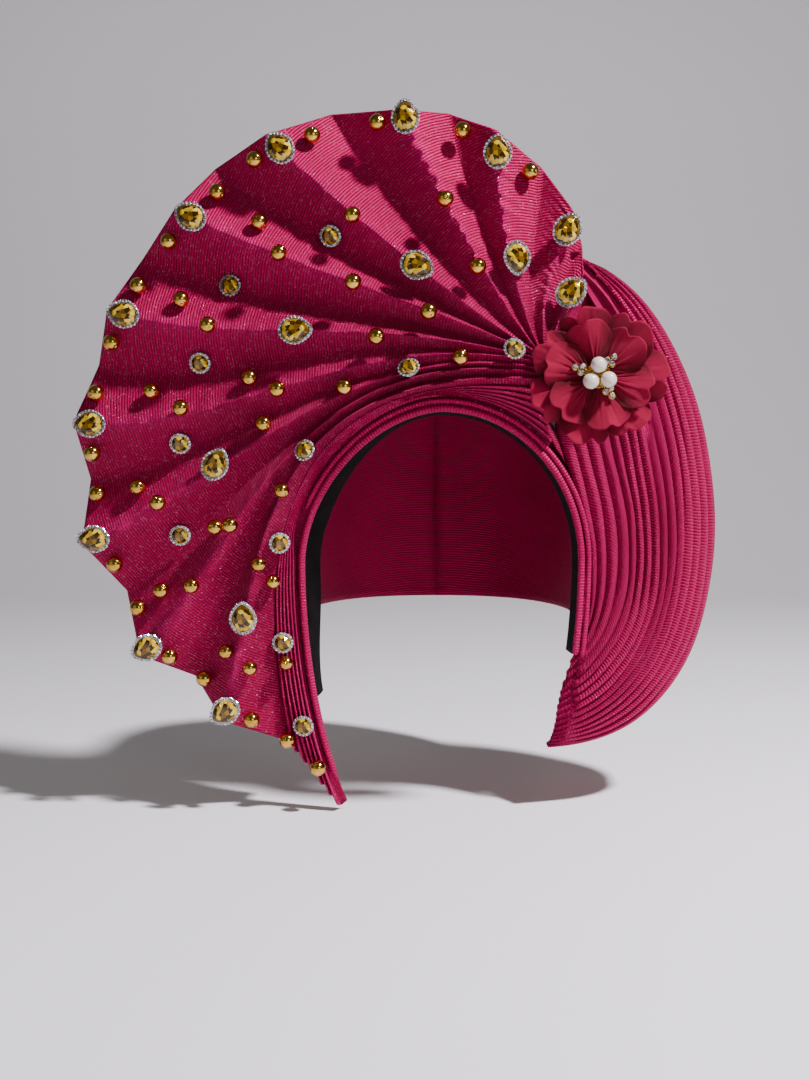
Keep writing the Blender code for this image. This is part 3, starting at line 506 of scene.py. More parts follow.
def rollsWidth(deg):
    brow = ease(1 + (rolls["browFrom"] - np.asarray(deg)) / rolls["browFade"])
    return 2 * rolls["radius"] + rolls["gap"] + brow * (2 * rolls["browRadius"] + rolls["gap"])


def narrowEdges(along):  # the two long edges of the strip of narrow folds, and its hidden tucked edge
    along = np.asarray(along, dtype=float)
    turn = mix(browFolds["startDeg"], browFolds["tailDeg"], along ** browFolds["lead"])
    inner = faceEdge(turn, rollsWidth(turn) + browFolds["clear"])
    tucked = faceEdge(turn, rolls["radius"])
    tucked[:, 1] += (rolls["radius"] + rolls["tuck"]) * mm
    return fanCreases(along)[:, -1], inner, tucked


def buildBrowFolds():
    along = np.linspace(0, 1, browFolds["rows"]) ** browFolds["crowding"]
    outer, inner, tucked = narrowEdges(along)
    width = np.linalg.norm(inner - outer, axis=-1)
    count = browFolds["folds"]
    at = np.arange(count * browFolds["perFold"] + 1) / browFolds["perFold"]
    first = (rolls["gap"] * mm / width)[:, None]
    share = first + (1 - first) * at / count
    run = along * browFolds["length"]
    fold = np.minimum(at.astype(int), count - 1)
    drift = ripple(browFolds["seed"], run, browFolds["driftWaves"], count)[fold].T
    inFold = at - fold
    hill = np.sin(math.pi * np.clip(inFold, 0, 1)) ** browFolds["round"]
    share = share + browFolds["drift"] * drift * hill * ease(along / 0.15)[:, None]
    grid = mix(outer[:, None], inner[:, None], share[..., None])
    height = math.tan(math.radians(browFolds["slope"])) * width / count / 2 * browFolds["stand"]
    height = np.minimum(height, browFolds["height"] * mm)
    sink = 0.5 + 0.5 * ripple(browFolds["seed"] + 3, run, browFolds["sinkWaves"], count)[fold].T
    grid[..., 1] -= height[:, None] * hill * (1 - browFolds["sink"] * sink)
    grid[..., 1] += (rolls["radius"] + rolls["tuck"]) * mm * ease((at - count + 0.5) / 0.5)
    grid[..., 1] += browFolds["groove"] * mm * (1 - hill) ** 1.6 * ease(along / 0.1)[:, None]
    way = (outer - inner) / width[:, None]
    hidden = outer + way * browFolds["under"] * mm + np.array([0, browFolds["under"] * mm, 0])
    grid = np.concatenate([hidden[:, None], grid, tucked[:, None]], axis=1)
    # the fold crests are marked for the painted highlight
    marks = np.concatenate([[0.0], hill ** 6, [0.0]])
    return clothSheet("browFoldCloth", grid, ribbedCloth, ["forehead_folds"],
                      browFolds["thick"] * mm, marks=marks, widest=len(along) // 2)


browFoldCloth = buildBrowFolds()


def ribbedTube(name, path, radius, nodes, seed):  # a rolled hem, its ribs running round it
    step = np.linalg.norm(np.diff(path, axis=0), axis=-1)
    run = np.concatenate([[0], np.cumsum(step)])
    rings = int(run[-1] / (rolls["ribPitch"] * mm) * rolls["ringsPerRib"])
    at = np.linspace(0, run[-1], rings)
    centre = np.stack([np.interp(at, run, path[:, k]) for k in range(3)], -1)
    ahead = np.gradient(centre, axis=0)
    ahead /= np.linalg.norm(ahead, axis=-1, keepdims=True)
    side = np.cross(ahead, [0, 1, 0])
    side /= np.linalg.norm(side, axis=-1, keepdims=True)
    up = np.cross(side, ahead)
    rib = np.abs(np.sin(math.pi * at / (rolls["ribPitch"] * mm))) ** 0.6
    end = np.minimum(at / (rolls["tailTaper"] * mm), (run[-1] - at) / (rolls["endTaper"] * mm))
    taper = np.sqrt(np.clip(end * (2 - end), 0.02, 1) * (end < 1) + (end >= 1))
    swell = radius * mm * (1 - 0.05 * (0.5 + 0.5 * ripple(seed, at, (0.06, 0.022), 1)[0]))
    size = (swell - rolls["ribDepth"] * mm * (1 - rib)) * taper
    sides = rolls["sides"]
    turn = 2 * math.pi * np.arange(sides) / sides
    lap = 1 - rolls["lap"] * np.exp(-((turn - rolls["lapAt"]) / rolls["lapWide"]) ** 2)  # the lap of the rolled edge
    ring = side[:, None] * np.cos(turn)[:, None] + up[:, None] * np.sin(turn)[:, None]
    grid = centre[:, None] + ring * (size[:, None] * lap)[..., None]
    # the rib crests are marked for the painted highlight
    mesh = meshFrom(name, grid.reshape(-1, 3), closedTube(rings, sides), [ribbedRoll],
                    uv=threadMap(turn * radius * mm, at[:, None], rings, sides),
                    marks=np.broadcast_to(rib[:, None] * 0.6, (rings, sides)))
    piece = setDown(name, mesh, nodes)
    return piece


faceRoll = ribbedTube("faceRollHem", faceEdge(np.linspace(rolls["from"], rolls["to"], 240), rolls["radius"]),
                      rolls["radius"], ["face_roll"], 21)
browRoll = ribbedTube("browRollHem", faceEdge(np.linspace(rolls["browFrom"], rolls["to"], 200),
                                              2 * rolls["radius"] + rolls["browRadius"] + rolls["gap"]),
                      rolls["browRadius"], ["brow_roll"], 22)
print("hems rolled")

# side wing
wing = {
    "middle": 11, "depth": 51, "backX": 86, "gather": 9, "hug": 22, "hugPower": 4, "frontFolds": 12, "backFolds": 3,
    "backTurn": 86, "frontTucks": 15, "slope": 44, "limit": 3, "perCrease": 8, "rows": 120, "round": 0.55,
    "groove": 2.4, "lead": 0.07, "innerLead": 0.16, "drift": 0.9, "thick": 1.0, "length": 0.25, "swell": (0.92, 0.14),
    "swellWaves": (0.12, 0.045), "driftWaves": (0.16, 0.07), "endFade": 0.12, "ridgeHighlight": 0.6, "seed": 31,
    "lines": [  # share, startX, startZ, highX, highZ, lowX, lowZ, endX, endZ, startY, endY
        (0.00, 58, -29, 61, -46, 90, -108, 73, -151, -60, -41), (0.25, 82, -22, 91, -61, 122, -131, 65, -173, -56, -43),
        (0.50, 98, -12, 110, -62, 142, -156, 62, -187, -59, -44), (0.70, 74, 49, 134, 0, 163, -179, 60, -196, -62, -44),
        (1.00, 73, 51, 166, 27, 191, -210, 57, -204, -62, -44),
    ],
}


def wingLines(turn, along):
    rad = np.radians(np.asarray(turn, dtype=float))
    across, deep = np.cos(rad), np.sin(rad)
    table = np.array(wing["lines"])
    share = np.where(deep < 0, across, 1.0)
    (startX, startZ, highX, highZ, lowX, lowZ, endX, endZ, startY, endY) = [
        np.interp(share, table[:, 0], table[:, k]) for k in range(1, 11)]
    behind = np.clip(deep, 0, 1)
    inward = np.where(deep > 0, 1 - across, 0)
    highX, lowX = mix(highX, wing["backX"], inward), mix(lowX, wing["backX"], inward)
    startY, endY = startY + wing["gather"] * behind, endY + wing["gather"] * behind
    y = wing["middle"] + wing["depth"] * deep
    hug = np.where(deep < 0, wing["hug"] * np.clip(1 - across, 0, 1) ** wing["hugPower"], 0)
    corner = [np.stack(p, -1) * mm for p in ((startX, startY, startZ), (highX, y - hug, highZ), (lowX, y, lowZ),
                                             (endX, endY, endZ))]
    return bend(*corner, along)


def wingTurn(crease):
    front = 2 * wing["frontFolds"]
    ahead = -np.degrees(np.arccos(np.clip(crease / front, 0, 1)))
    return np.where(crease < front, ahead, wing["backTurn"] * (crease - front) / (2 * wing["backFolds"]))


def buildWing():
    along = np.linspace(0, 1, wing["rows"])
    last = 2 * (wing["frontFolds"] + wing["backFolds"])
    at = np.arange(last * wing["perCrease"] + 1) / wing["perCrease"]
    # the tucks start a little earlier than in the solids, out of sight behind the fan
    lead = -wing["lead"] * ease((at - 11) / 5) - wing["innerLead"] * (1 - ease((at - 4) / 4))
    down = mix(lead[None], 1.0, along[:, None])
    base = wingLines(wingTurn(at), down)
    across = wingLines(wingTurn(np.clip(at + 1, 0, last)), down) - wingLines(wingTurn(np.clip(at - 1, 0, last)), down)
    out = np.stack([across[..., 1], -across[..., 0], np.zeros_like(across[..., 0])], -1)
    out /= np.linalg.norm(out, axis=-1, keepdims=True)
    half = np.linalg.norm(across, axis=-1) / 2
    height = math.tan(math.radians(wing["slope"])) * np.minimum(half, wing["limit"] * mm)
    # the tucks that show in front are a little narrower than those at the back
    front = 2 * wing["frontFolds"]
    phase = np.where(at < front, at / front * wing["frontTucks"], wing["frontTucks"] + (at - front) / 2)
    count = wing["frontTucks"] + wing["backFolds"]
    tuck = np.minimum(phase.astype(int), count - 1)
    hill = np.abs(np.sin(math.pi * phase)) ** wing["round"]
    run = along * wing["length"]
    fade = np.minimum(ease(along / wing["endFade"]), ease((1 - along) / wing["endFade"]))[:, None]
    swell = ripple(wing["seed"], run, wing["swellWaves"], count)[tuck].T
    drift = ripple(wing["seed"] + 1, run, wing["driftWaves"], count)[tuck].T
    across /= np.linalg.norm(across, axis=-1, keepdims=True)
    grid = base + out * (height * hill * (wing["swell"][0] + wing["swell"][1] * swell * fade))[..., None]
    grid += across * (wing["drift"] * mm * drift * hill * fade)[..., None]
    grid -= out * (wing["groove"] * mm * (1 - hill) ** 1.6 * fade)[..., None]
    # the ribs run square across each tuck and don't line up with the next one's
    length = runAlong(grid)[-1]
    tuckLength = np.array([length[tuck == k].mean() for k in range(count)])
    offset = np.random.default_rng(wing["seed"]).uniform(0, 0.01, count)
    ribRun = along[:, None] * tuckLength[tuck][None] + offset[tuck][None]
    # the tuck crests are marked for the painted highlight
    return clothSheet("wingCloth", grid, ribbedWing, ["side_wing"], wing["thick"] * mm,
                      marks=hill ** 5 * wing["ridgeHighlight"], widest=wing["rows"] // 2, run=ribRun)


wingCloth = buildWing()

# closed crown at the back, shaped to the head
cap = {"halfWidth": 74, "front": 84, "back": 102, "dome": 95, "square": 2.3, "nape": -138, "openDeg": 96,
       "rimClear": 1.4, "rimOut": 1.5, "rimHold": 4, "cloth": 2.0, "backShift": 1.15, "columns": 150, "rows": 64,
       "thick": 1.6, "wrinkle": 0.8, "dragFrom": 1.2, "dragOver": 0.5, "topFade": 4, "napeFade": 9,
       "drags": [(9, 2.2, 0, 1.0), (17, -3, 1, 0.6), (31, 0, 1.3, 0.4)]}  # count, slant, shift, strength


def headReach(way, grow):
    wide = abs(way[0]) / (cap["halfWidth"] + grow)
    deep = abs(way[1]) / ((cap["back"] if way[1] > 0 else cap["front"]) + grow)
    high = max(0.0, way[2]) / (cap["dome"] + grow)
    return (wide ** cap["square"] + deep ** cap["square"] + high ** cap["square"]) ** (-1 / cap["square"])


def capRim(turnDeg, grow):
    side, fromFront = (1 if turnDeg >= 0 else -1), abs(turnDeg)
    middle = np.array([0, 0, -cap["dome"]])
    if fromFront <= cap["openDeg"]:
        corner = math.degrees(math.asin((cap["nape"] - face["level"]) / face["fall"]))
        deg = mix(90, corner, fromFront / cap["openDeg"])
        edge = faceEdge(deg if side > 0 else 180 - deg, cap["rimOut"] + grow) / mm
        edge[1] += rolls["radius"] + rolls["tuck"] + cap["cloth"] * cap["backShift"] + cap["rimClear"]
        return edge - middle
    corner = capRim(side * cap["openDeg"], grow)
    share = (fromFront - cap["openDeg"]) / (180 - cap["openDeg"])
    turn = math.radians(mix(math.degrees(math.atan2(abs(corner[0]), -corner[1])), 180, share))
    flat = np.array([side * math.sin(turn), -math.cos(turn), 0])
    reach = mix(math.hypot(corner[0], corner[1]), headReach(flat, grow), float(ease(share * cap["rimHold"])))
    return flat * reach + np.array([0, 0, cap["nape"]]) - middle


def buildCap():
    top = Vector((0, 0, 1))
    grow = cap["cloth"]
    grid = np.zeros((cap["rows"] + 1, cap["columns"] + 1, 3))
    for c in range(cap["columns"] + 1):
        rim = capRim(360 * c / cap["columns"] - 180, grow)
        rimLength = float(np.linalg.norm(rim))
        rimWay = Vector(rim).normalized()
        for r in range(cap["rows"] + 1):
            share = mix(0.004, 1.0, r / cap["rows"])
            way = np.array(top.slerp(rimWay, share))
            reach = mix(headReach(way, grow), rimLength, share ** cap["rimHold"])
            grid[r, c] = way * reach + np.array([0, 0, -cap["dome"]])
    grid *= mm
    # shallow drag lines run down from the crown and pull in at the nape
    turn = np.linspace(-math.pi, math.pi, cap["columns"] + 1)
    down = np.linspace(0, 1, cap["rows"] + 1)[:, None]
    drag = sum(strong * np.cos(count * turn + slant * down + shift) for count, slant, shift, strong in cap["drags"])
    inward = grid - np.array([0, 0, -cap["dome"]]) * mm
    inward /= np.linalg.norm(inward, axis=-1, keepdims=True)
    sink = cap["wrinkle"] * mm * (0.5 + 0.25 * drag) * ease(down * cap["topFade"]) * ease((1 - down) * cap["napeFade"])
    behind = ease((np.abs(turn) - cap["dragFrom"]) / cap["dragOver"])
    grid -= inward * (sink * behind)[..., None]
    return clothSheet("capCloth", grid, ribbedPlain, ["crown_cap"], cap["thick"] * mm,
                      widest=cap["rows"] // 2)


capCloth = buildCap()

# grip band inside the face opening
grip = {"thick": 1.5, "showsLeft": 7.0, "shows": 1.4, "lean": 13, "under": 0.6, "power": 1.5, "widensFrom": 100,
        "widensOver": 60, "from": -16, "to": 204, "rows": 220, "columns": 9,
        "fadeFrom": 184, "fade": 0.7, "hem": 0.25, "hemAt": 0.86, "hemWide": 0.05}


def buildBand():
    turn = np.linspace(grip["from"], grip["to"], grip["rows"])
    shows = mix(grip["shows"], grip["showsLeft"], ease((turn - grip["widensFrom"]) / grip["widensOver"]))
    shows = shows * (1 - grip["fade"] * ease((turn - grip["fadeFrom"]) / (grip["to"] - grip["fadeFrom"])))
    lines = []
    for share in np.linspace(0, 1, grip["columns"]):
        here = faceEdge(turn, mix(grip["under"], -shows, share))
        here[:, 1] += (rolls["radius"] + rolls["gap"] + grip["lean"] * share ** grip["power"]) * mm
        # the sewn edge sinks a little
        here[:, 1] += grip["hem"] * mm * math.exp(-((share - grip["hemAt"]) / grip["hemWide"]) ** 2)
        lines.append(here)
    grid = np.stack(lines, axis=1)
    return clothSheet("gripBand", grid, blackGrip, ["inner_band"], grip["thick"] * mm)


gripBand = buildBand()

# gathered knot and chiffon flower
knot = {"rings": 26, "sides": 96, "pleats": 19, "depth": 0.07, "fit": 0.98}
flower = {"x": 75, "z": -8.5, "radius": 36, "hole": 4.5, "cup": 3.0, "wave": 3.2, "frontShare": 0.80,
          "frontPhase": 0.8, "overlap": 1.34, "across": 56, "down": 26, "notch": 0.10, "ruffle": 0.7, "lap": 1.2,
          "backPetals": 7, "frontPetals": 6, "gathers": 0.42, "thick": 0.3, "seed": 51, "tipBow": 0.36,
          "tipPower": 2.8, "notchWide": 0.13, "edgeWave": 0.012, "creaseSpan": 1.1, "sway": 0.7}


def circle(radius, sides, z=0.0, x=0.0, y=0.0, start=0.0):
    turn = start + 2 * math.pi * np.arange(sides) / sides
    return np.stack([x + radius * np.cos(turn), y + radius * np.sin(turn), np.full(sides, z)], -1)


def turned(name, rows, finishes, sides):  # lathe: rows of radius, height, finish
    points = np.concatenate([circle(radius, sides, height) for radius, height, _ in rows]) * mm
    finishOf = [row[2] for row in rows[:-1] for _ in range(sides)] + [rows[0][2], rows[-1][2]]
    return meshFrom(name, points, closedTube(len(rows), sides), finishes, finishOf=finishOf)


def buildKnot():
    low, high = [np.array(corner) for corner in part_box("gather_knot")]
    middle, half = (low + high) / 2, (high - low) / 2
    rings, sides = knot["rings"], knot["sides"]
    polar = (math.pi * (np.arange(rings) + 0.5) / rings)[:, None]
    turn = 2 * math.pi * np.arange(sides) / sides
    pleat = 1 - knot["depth"] * (0.5 + 0.5 * np.cos(knot["pleats"] * turn[None] + 2 * polar)) * np.sin(polar)
    girth = np.sin(polar) * pleat
    grid = np.stack([girth * np.cos(turn), np.broadcast_to(-np.cos(polar), girth.shape),
                     girth * np.sin(turn)], -1) * half * knot["fit"] + middle
    mesh = meshFrom("gatherKnot", grid.reshape(-1, 3), closedTube(rings, sides), [ribbedCloth],
                    uv=threadMap(turn * half[0], polar * half[0], rings, sides))
    piece = setDown("gatherKnot", mesh, ["gather_knot"])


def buildPetals(name, nodeName, radius, count, phase, seed):
    rng = np.random.default_rng(seed)
    rows, cols = flower["down"], flower["across"]
    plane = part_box(nodeName)[0][1] / mm + flower["cup"] + flower["wave"]
    s = np.linspace(0, 1, rows)[:, None]
    q = np.linspace(-1, 1, cols)[None, :]
    points, faces, uvs, marks = [], [], [], []
    for k in range(count):
        middle = (k * math.pi - phase) / (count / 2)
        reachShare, tilt, notchAt = rng.uniform(0.93, 1.0), rng.uniform(0.8, 1.2), rng.uniform(-0.25, 0.25)
        spread = math.pi / count * flower["overlap"] * rng.uniform(0.95, 1.1)
        waves = rng.uniform(0, 2 * math.pi, 4)
        notch = flower["notch"] * np.exp(-((q - notchAt) / flower["notchWide"]) ** 2)
        bow = np.abs(q) ** flower["tipPower"] * flower["tipBow"] + notch
        bow = bow + flower["edgeWave"] * np.sin(11 * q + waves[0])
        reach = mix(flower["hole"], radius * reachShare * (1 - bow), s)
        # drawn in at the centre, spread to its full width half way out
        turn = middle + q * spread * (0.66 + 0.34 * ease(s / 0.6))
        crease = np.cos(math.pi * q / flower["creaseSpan"])
        y = -flower["cup"] * s ** 2 - flower["wave"] * s * crease * 0.95
        y = y + flower["lap"] * tilt * q * (0.35 + 0.65 * s)
        pulls = np.sin(22 * q + waves[1]) + 0.7 * np.sin(37 * q + waves[3])
        y = y + flower["gathers"] * pulls * ease(s / 0.2) * (1 - 0.85 * ease((s - 0.1) / 0.8))
        y = y + flower["sway"] * np.sin(5.2 * q + waves[3] + 0.8 * s) * s
        y = y + flower["ruffle"] * np.sin(7.5 * q + waves[2] + 1.5 * s) * ease((s - 0.6) / 0.4)
        y = np.clip(plane + y, plane - flower["cup"] - flower["wave"] - 0.8, plane + flower["wave"] + 0.6)
        x, z = flower["x"] + reach * np.cos(turn), flower["z"] + reach * np.sin(turn)
        grid = np.stack([x, y + 0 * turn, z], -1) * mm
        start = len(points) * rows * cols
        points.append(grid.reshape(-1, 3))
        faces += [tuple(start + i for i in f) for f in gridFaces(rows, cols)]
        uvs.append(np.stack([q * spread * radius * mm + 0 * s, s * radius * mm + 0 * q], -1).reshape(-1, 2))
        # each petal's crest and outer part are marked lighter and its sides and centre darker: painted light and shade
        marks.append((ease(crease * 0.5 + 0.5) * (0.4 + 0.6 * s)).reshape(-1))
    mesh = meshFrom(name, np.concatenate(points), faces, [roseChiffon], uv=np.concatenate(uvs),
                    marks=np.concatenate(marks))
    return giveWall(setDown(name, mesh, [nodeName]), flower["thick"] * mm)


buildKnot()
backPetals = buildPetals("backPetals", "flower_back_petals", flower["radius"],
                         flower["backPetals"], 0.0, flower["seed"])
frontPetals = buildPetals("frontPetals", "flower_front_petals", flower["radius"] * flower["frontShare"],
                          flower["frontPetals"], flower["frontPhase"], flower["seed"] + 1)

# brooch and pearls
brooch = {"radius": 6.5, "thick": 1.6, "sprigReach": 12, "sprigTurns": (20, 130, 235),
          "stones": ((-10, 0.72), (10, 0.72), (0, 1.0)), "stoneSize": 1.7,
          "armSize": 0.55, "armSteps": 7, "sides": 40, "edgeBeads": 26}


def facing(point, normal, tipDeg=90):  # a piece made in its own XY plane: Z along the normal, Y to the tip
    z = Vector(normal).normalized()
    tip = Vector(heading(tipDeg))
    y = (tip - z * tip.dot(z)).normalized()
    turn = Matrix((y.cross(z), y, z)).transposed().to_4x4()
    return Matrix.Translation(Vector(point)) @ turn


def boxMiddle(nodeName):
    low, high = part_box(nodeName)
    return (Vector(low) + Vector(high)) / 2


class Parts:  # gathers several small shapes into one mesh
    def __init__(self):
        self.points, self.faces, self.finishOf, self.count = [], [], [], 0

    def add(self, points, faces, finish):
        points = np.asarray(points, dtype=float)
        self.points.append(points)
        self.faces += [tuple(self.count + i for i in f) for f in faces]
        self.finishOf += [finish] * len(faces)
        self.count += len(points)

    def rings(self, outlines, finish):
        self.add(np.concatenate(outlines), closedTube(len(outlines), len(outlines[0])), finish)

    def made(self, name, finishes):
        points = np.concatenate(self.points) * mm
        return meshFrom(name, points, self.faces, finishes, rounded=False, finishOf=self.finishOf)


def smallCrystal(parts, x, y, z, radius, finish, start=0.0):  # eight-sided, with a flat table
    parts.rings([circle(radius * 0.8, 8, z - radius * 0.3, x, y, start), circle(radius, 8, z, x, y, start),
                 circle(radius * 0.55, 8, z + radius * 0.55, x, y, start + 0.39)], finish)


def buildBrooch():
    low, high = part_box("brooch_base")
    centre = Vector((flower["x"] * mm, (low[1] + high[1]) / 2, flower["z"] * mm))
    half, r = brooch["thick"] / 2, brooch["radius"]
    parts = Parts()
    plate = [(r - 0.5, -half), (r, -half + 0.3), (r, half - 0.5), (r - 0.4, half), (r - 1.1, half),
             (r - 1.4, half - 0.4), (2.0, half - 0.4), (1.2, half - 0.1)]
    parts.rings([circle(size, brooch["sides"], z) for size, z in plate], 0)
    for x, y, _ in circle(r - 0.75, brooch["edgeBeads"], half):
        smallCrystal(parts, x, y, half, 0.5, 0)
    for turnDeg in brooch["sprigTurns"]:
        base = math.radians(180 - turnDeg)  # the plate is seen from its front, so its X runs the other way
        for bendDeg, reach in brooch["stones"]:
            turn = base - math.radians(bendDeg)
            x, y = brooch["sprigReach"] * reach * math.cos(turn), brooch["sprigReach"] * reach * math.sin(turn)
            size = brooch["stoneSize"]
            cup = ((0.6, -half), (0.95, -half * 0.4), (1.0, half * 0.5), (0.86, half * 0.7))
            parts.rings([circle(size * share, 12, z, x, y) for share, z in cup], 0)
            smallCrystal(parts, x, y, half * 0.95, size * 0.82, 1)
            for claw in range(4):
                around = math.pi / 4 + claw * math.pi / 2
                smallCrystal(parts, x + size * 0.85 * math.cos(around), y + size * 0.85 * math.sin(around),
                             half * 0.95, 0.28, 0)
            steps = brooch["armSteps"]
            line = [np.array([x, y]) * mix(0.42, 0.95, i / steps) for i in range(steps + 1)]
            sideways = np.array([-math.sin(turn), math.cos(turn)])
            rings = []
            for i, spot in enumerate(line):
                width = brooch["armSize"] * mix(1.1, 0.7, i / steps)
                arc = 0.5 * math.sin(math.pi * i / steps)
                around = 2 * math.pi * np.arange(8) / 8
                rings.append(np.stack([spot[0] + sideways[0] * (width * np.cos(around) + arc),
                                       spot[1] + sideways[1] * (width * np.cos(around) + arc),
                                       width * np.sin(around)], -1))
            parts.rings(rings, 0)
    mesh = parts.made("broochPlate", [polishedGold, clearCrystal])
    return setDown("broochPlate", mesh, ["brooch_base"], facing(centre, (0, -1, 0)))


def pearlMesh(radius):
    cup = ((0.2, -radius * 1.0 - 0.02), (1.5, -radius * 0.97), (2.0, -radius * 0.88), (1.95, -radius * 0.84))
    rows = [(out, high, 1) for out, high in cup]
    for k in range(4, 24):
        polar = math.pi * k / 24
        rows.append((radius * math.sin(polar), -radius * math.cos(polar), 0))
    rows.append((0.1, radius, 0))
    return turned("pearlInCup", rows, [ivoryPearl, polishedGold], 36)


buildBrooch()
pearlShape = pearlMesh(3.9)
for number in (1, 2, 3):
    nodeName = f"pearl_{number}"
    setDown(f"pearl{number}", pearlShape, [nodeName], facing(boxMiddle(nodeName), (0, -1, 0)))
print("brooch set")

# sewn trim: pear and round stones in crystal halos, gold beads
trim = {
    "pearLength": 18, "pearWidth": 14.5, "narrowing": 0.34, "round": 11, "height": 4.0, "beadRadius": 4.3,
    "pearFacets": 16, "pearCrystals": 24, "roundFacets": 12, "roundCrystals": 17, "crystalGap": 0.82, "grain": 0.30,
    "nearFold": 0.12, "nearAlong": 0.02,
    "pears": [  # fold, along, tipDeg
        (0, .71, 40), (1, .85, 62), (2, .90, 88), (3, .965, 92), (4, .94, 125), (5, .95, 148), (6, .955, 165),
        (7, .96, 180), (8, .97, 178), (9, .975, 205), (10, .975, 215), (4, .46, -25), (6, .50, 0), (1.9, .48, -90),
        (7.95, .67, 62), (10, .77, 92),
    ],
    "rounds": [(4.40, .65), (5.50, .75), (6.40, .74), (8.60, .22), (4.40, .08), (7.35, .77), (8.40, .82), (9.95, .40),
               (10.4, .58), (10.8, .77), (11.15, .89)],
    "innerBeads": [  # fold, along
        (4.76, .80), (4.02, .67), (4.99, .70), (5.77, .84), (5.00, .50), (5.98, .73), (6.06, .31), (6.72, .84),
        (6.75, .60), (7.02, .53), (6.94, .75), (7.86, .37), (7.74, .56), (3.01, .66), (3.05, .42), (5.01, .30),
        (7.80, .14), (7.71, .87), (7.98, .81), (9.42, .54), (8.75, .72), (8.97, .67), (10.05, .65), (10.39, .66),
        (9.00, .81), (8.74, .90), (9.83, .87), (10.15, .86), (10.89, .80),
    ],
}


def trimPoint(fold, along):
    if fold <= 10.5:
        creases = fanCreases([along])[0]
        crease = (fold + 0.5) * 2
        low = min(21, int(math.floor(crease)))
        return mix(creases[low], creases[low + 1], crease - low)
    outer, inner, _ = narrowEdges([along])
    return mix(outer[0], inner[0], fold - 10.5)


def trimPlace(fold, along):  # point and outward direction on the cloth
    near, step = trim["nearFold"], trim["nearAlong"]
    onFan = fold <= 10.5
    here = trimPoint(fold, along)
    beside = trimPoint(min(10.5, fold + near) if onFan else fold + near, along) - trimPoint(fold - near, along)
    ahead = trimPoint(fold, min(1, along + step)) - trimPoint(fold, along - step)
    normal = Vector(np.cross(ahead, beside)).normalized()
    if normal.y > 0:
        normal.negate()
    return Vector(here), (normal + Vector((0, -1, 0))).normalized()


def corners(nodeName):
    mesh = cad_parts[nodeName].data
    flat = np.empty(len(mesh.vertices) * 3)
    mesh.vertices.foreach_get("co", flat)
    matrix = np.array(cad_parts[nodeName].matrix_world)
    return flat.reshape(-1, 3) @ matrix[:3, :3].T + matrix[:3, 3]


def seatOf(nodeName, normal, tipDeg):  # where a packed stone sits: the middle of its back
    axes = np.array(facing((0, 0, 0), normal, tipDeg).to_3x3())
    local = corners(nodeName) @ axes
    low, high = local.min(0), local.max(0)
    return Vector(axes @ np.array([(low[0] + high[0]) / 2, (low[1] + high[1]) / 2, low[2]]))


def outline(length, width, sides, narrowing, scale=1.0, z=0.0, shift=0.0):
    turn = 2 * math.pi * (np.arange(sides) + shift) / sides - math.pi / 2
    narrow = 1 - narrowing * np.clip(np.sin(turn), 0, 1) ** 1.5
    across, along = width / 2 * np.cos(turn) * narrow, length / 2 * np.sin(turn)
    return np.stack([across * scale, along * scale, np.full(sides, z)], -1)


def stoneMesh(name, length, width, narrowing, facets, crystals):
    parts, tall = Parts(), trim["height"]

    def ring(scale, share, sides=48, shift=0.0):
        return outline(length, width, sides, narrowing, scale, share * tall, shift)

    setting = ((0.90, 0.0), (0.93, 0.05), (0.935, 0.22), (0.91, 0.27), (0.84, 0.27), (0.83, 0.46), (0.80, 0.46),
               (0.78, 0.16))
    parts.rings([ring(scale, share) for scale, share in setting], 1)
    # the cut stone: point at the back, girdle, two rows of crown facets and a table
    girdleLow, girdle = ring(0.80, 0.36, facets), ring(0.80, 0.45, facets)
    mid, table = ring(0.67, 0.76, facets, 0.5), ring(0.45, 1.0, facets)
    point = np.array([[0, -length * 0.04, 0.18 * tall]])
    faces = []
    for k in range(facets):
        n = (k + 1) % facets
        faces += [(k, n, facets + n, facets + k), (facets + k, facets + n, 2 * facets + k),
                  (2 * facets + k, facets + n, 2 * facets + n), (2 * facets + k, 2 * facets + n, 3 * facets + n),
                  (3 * facets + k, 2 * facets + k, 3 * facets + n), (n, k, 4 * facets)]
    faces.append(tuple(3 * facets + k for k in range(facets)))
    parts.add(np.concatenate([girdleLow, girdle, mid, table, point]), faces, 0)
    # halo crystals at equal steps round the outline, with a grain of silver between each two
    dense = ring(0.91, 0.34, 720)
    step = np.linalg.norm(np.diff(np.vstack([dense, dense[:1]]), axis=0), axis=-1)
    run = np.concatenate([[0], np.cumsum(step)])
    radius = run[-1] / crystals / 2 * trim["crystalGap"]
    for k in range(crystals):
        for half, size, finish in ((0, radius, 2), (0.5, radius * trim["grain"], 1)):
            spot = dense[int(np.searchsorted(run, run[-1] * (k + half) / crystals)) % 720]
            out = 1 + (0.07 if half else 0)
            smallCrystal(parts, spot[0] * out, spot[1] * out, spot[2] + (0.1 if half else 0.0), size, finish, k * 0.4)
    return parts.made(name, [amberGlass, brightSilver, clearCrystal])


def beadMesh(radius):
    rows = [(0.25, -radius * 0.90, 0), (0.55, -radius * 0.945, 0), (0.8, -radius * 0.975, 0)]
    for k in range(2, 19):
        polar = math.pi * k / 20
        rows.append((radius * math.sin(polar), -radius * math.cos(polar), 0))
    rows += [(0.8, radius * 0.975, 0), (0.55, radius * 0.945, 0), (0.25, radius * 0.90, 0)]
    return turned("goldBead", rows, [polishedGold], 24)


def clothSurface(*pieces):
    points, faces = [], []
    for piece in pieces:
        start = len(points)
        points += [v.co.copy() for v in piece.data.vertices]
        faces += [tuple(start + i for i in f.vertices) for f in piece.data.polygons]
    return BVHTree.FromPolygons(points, faces)


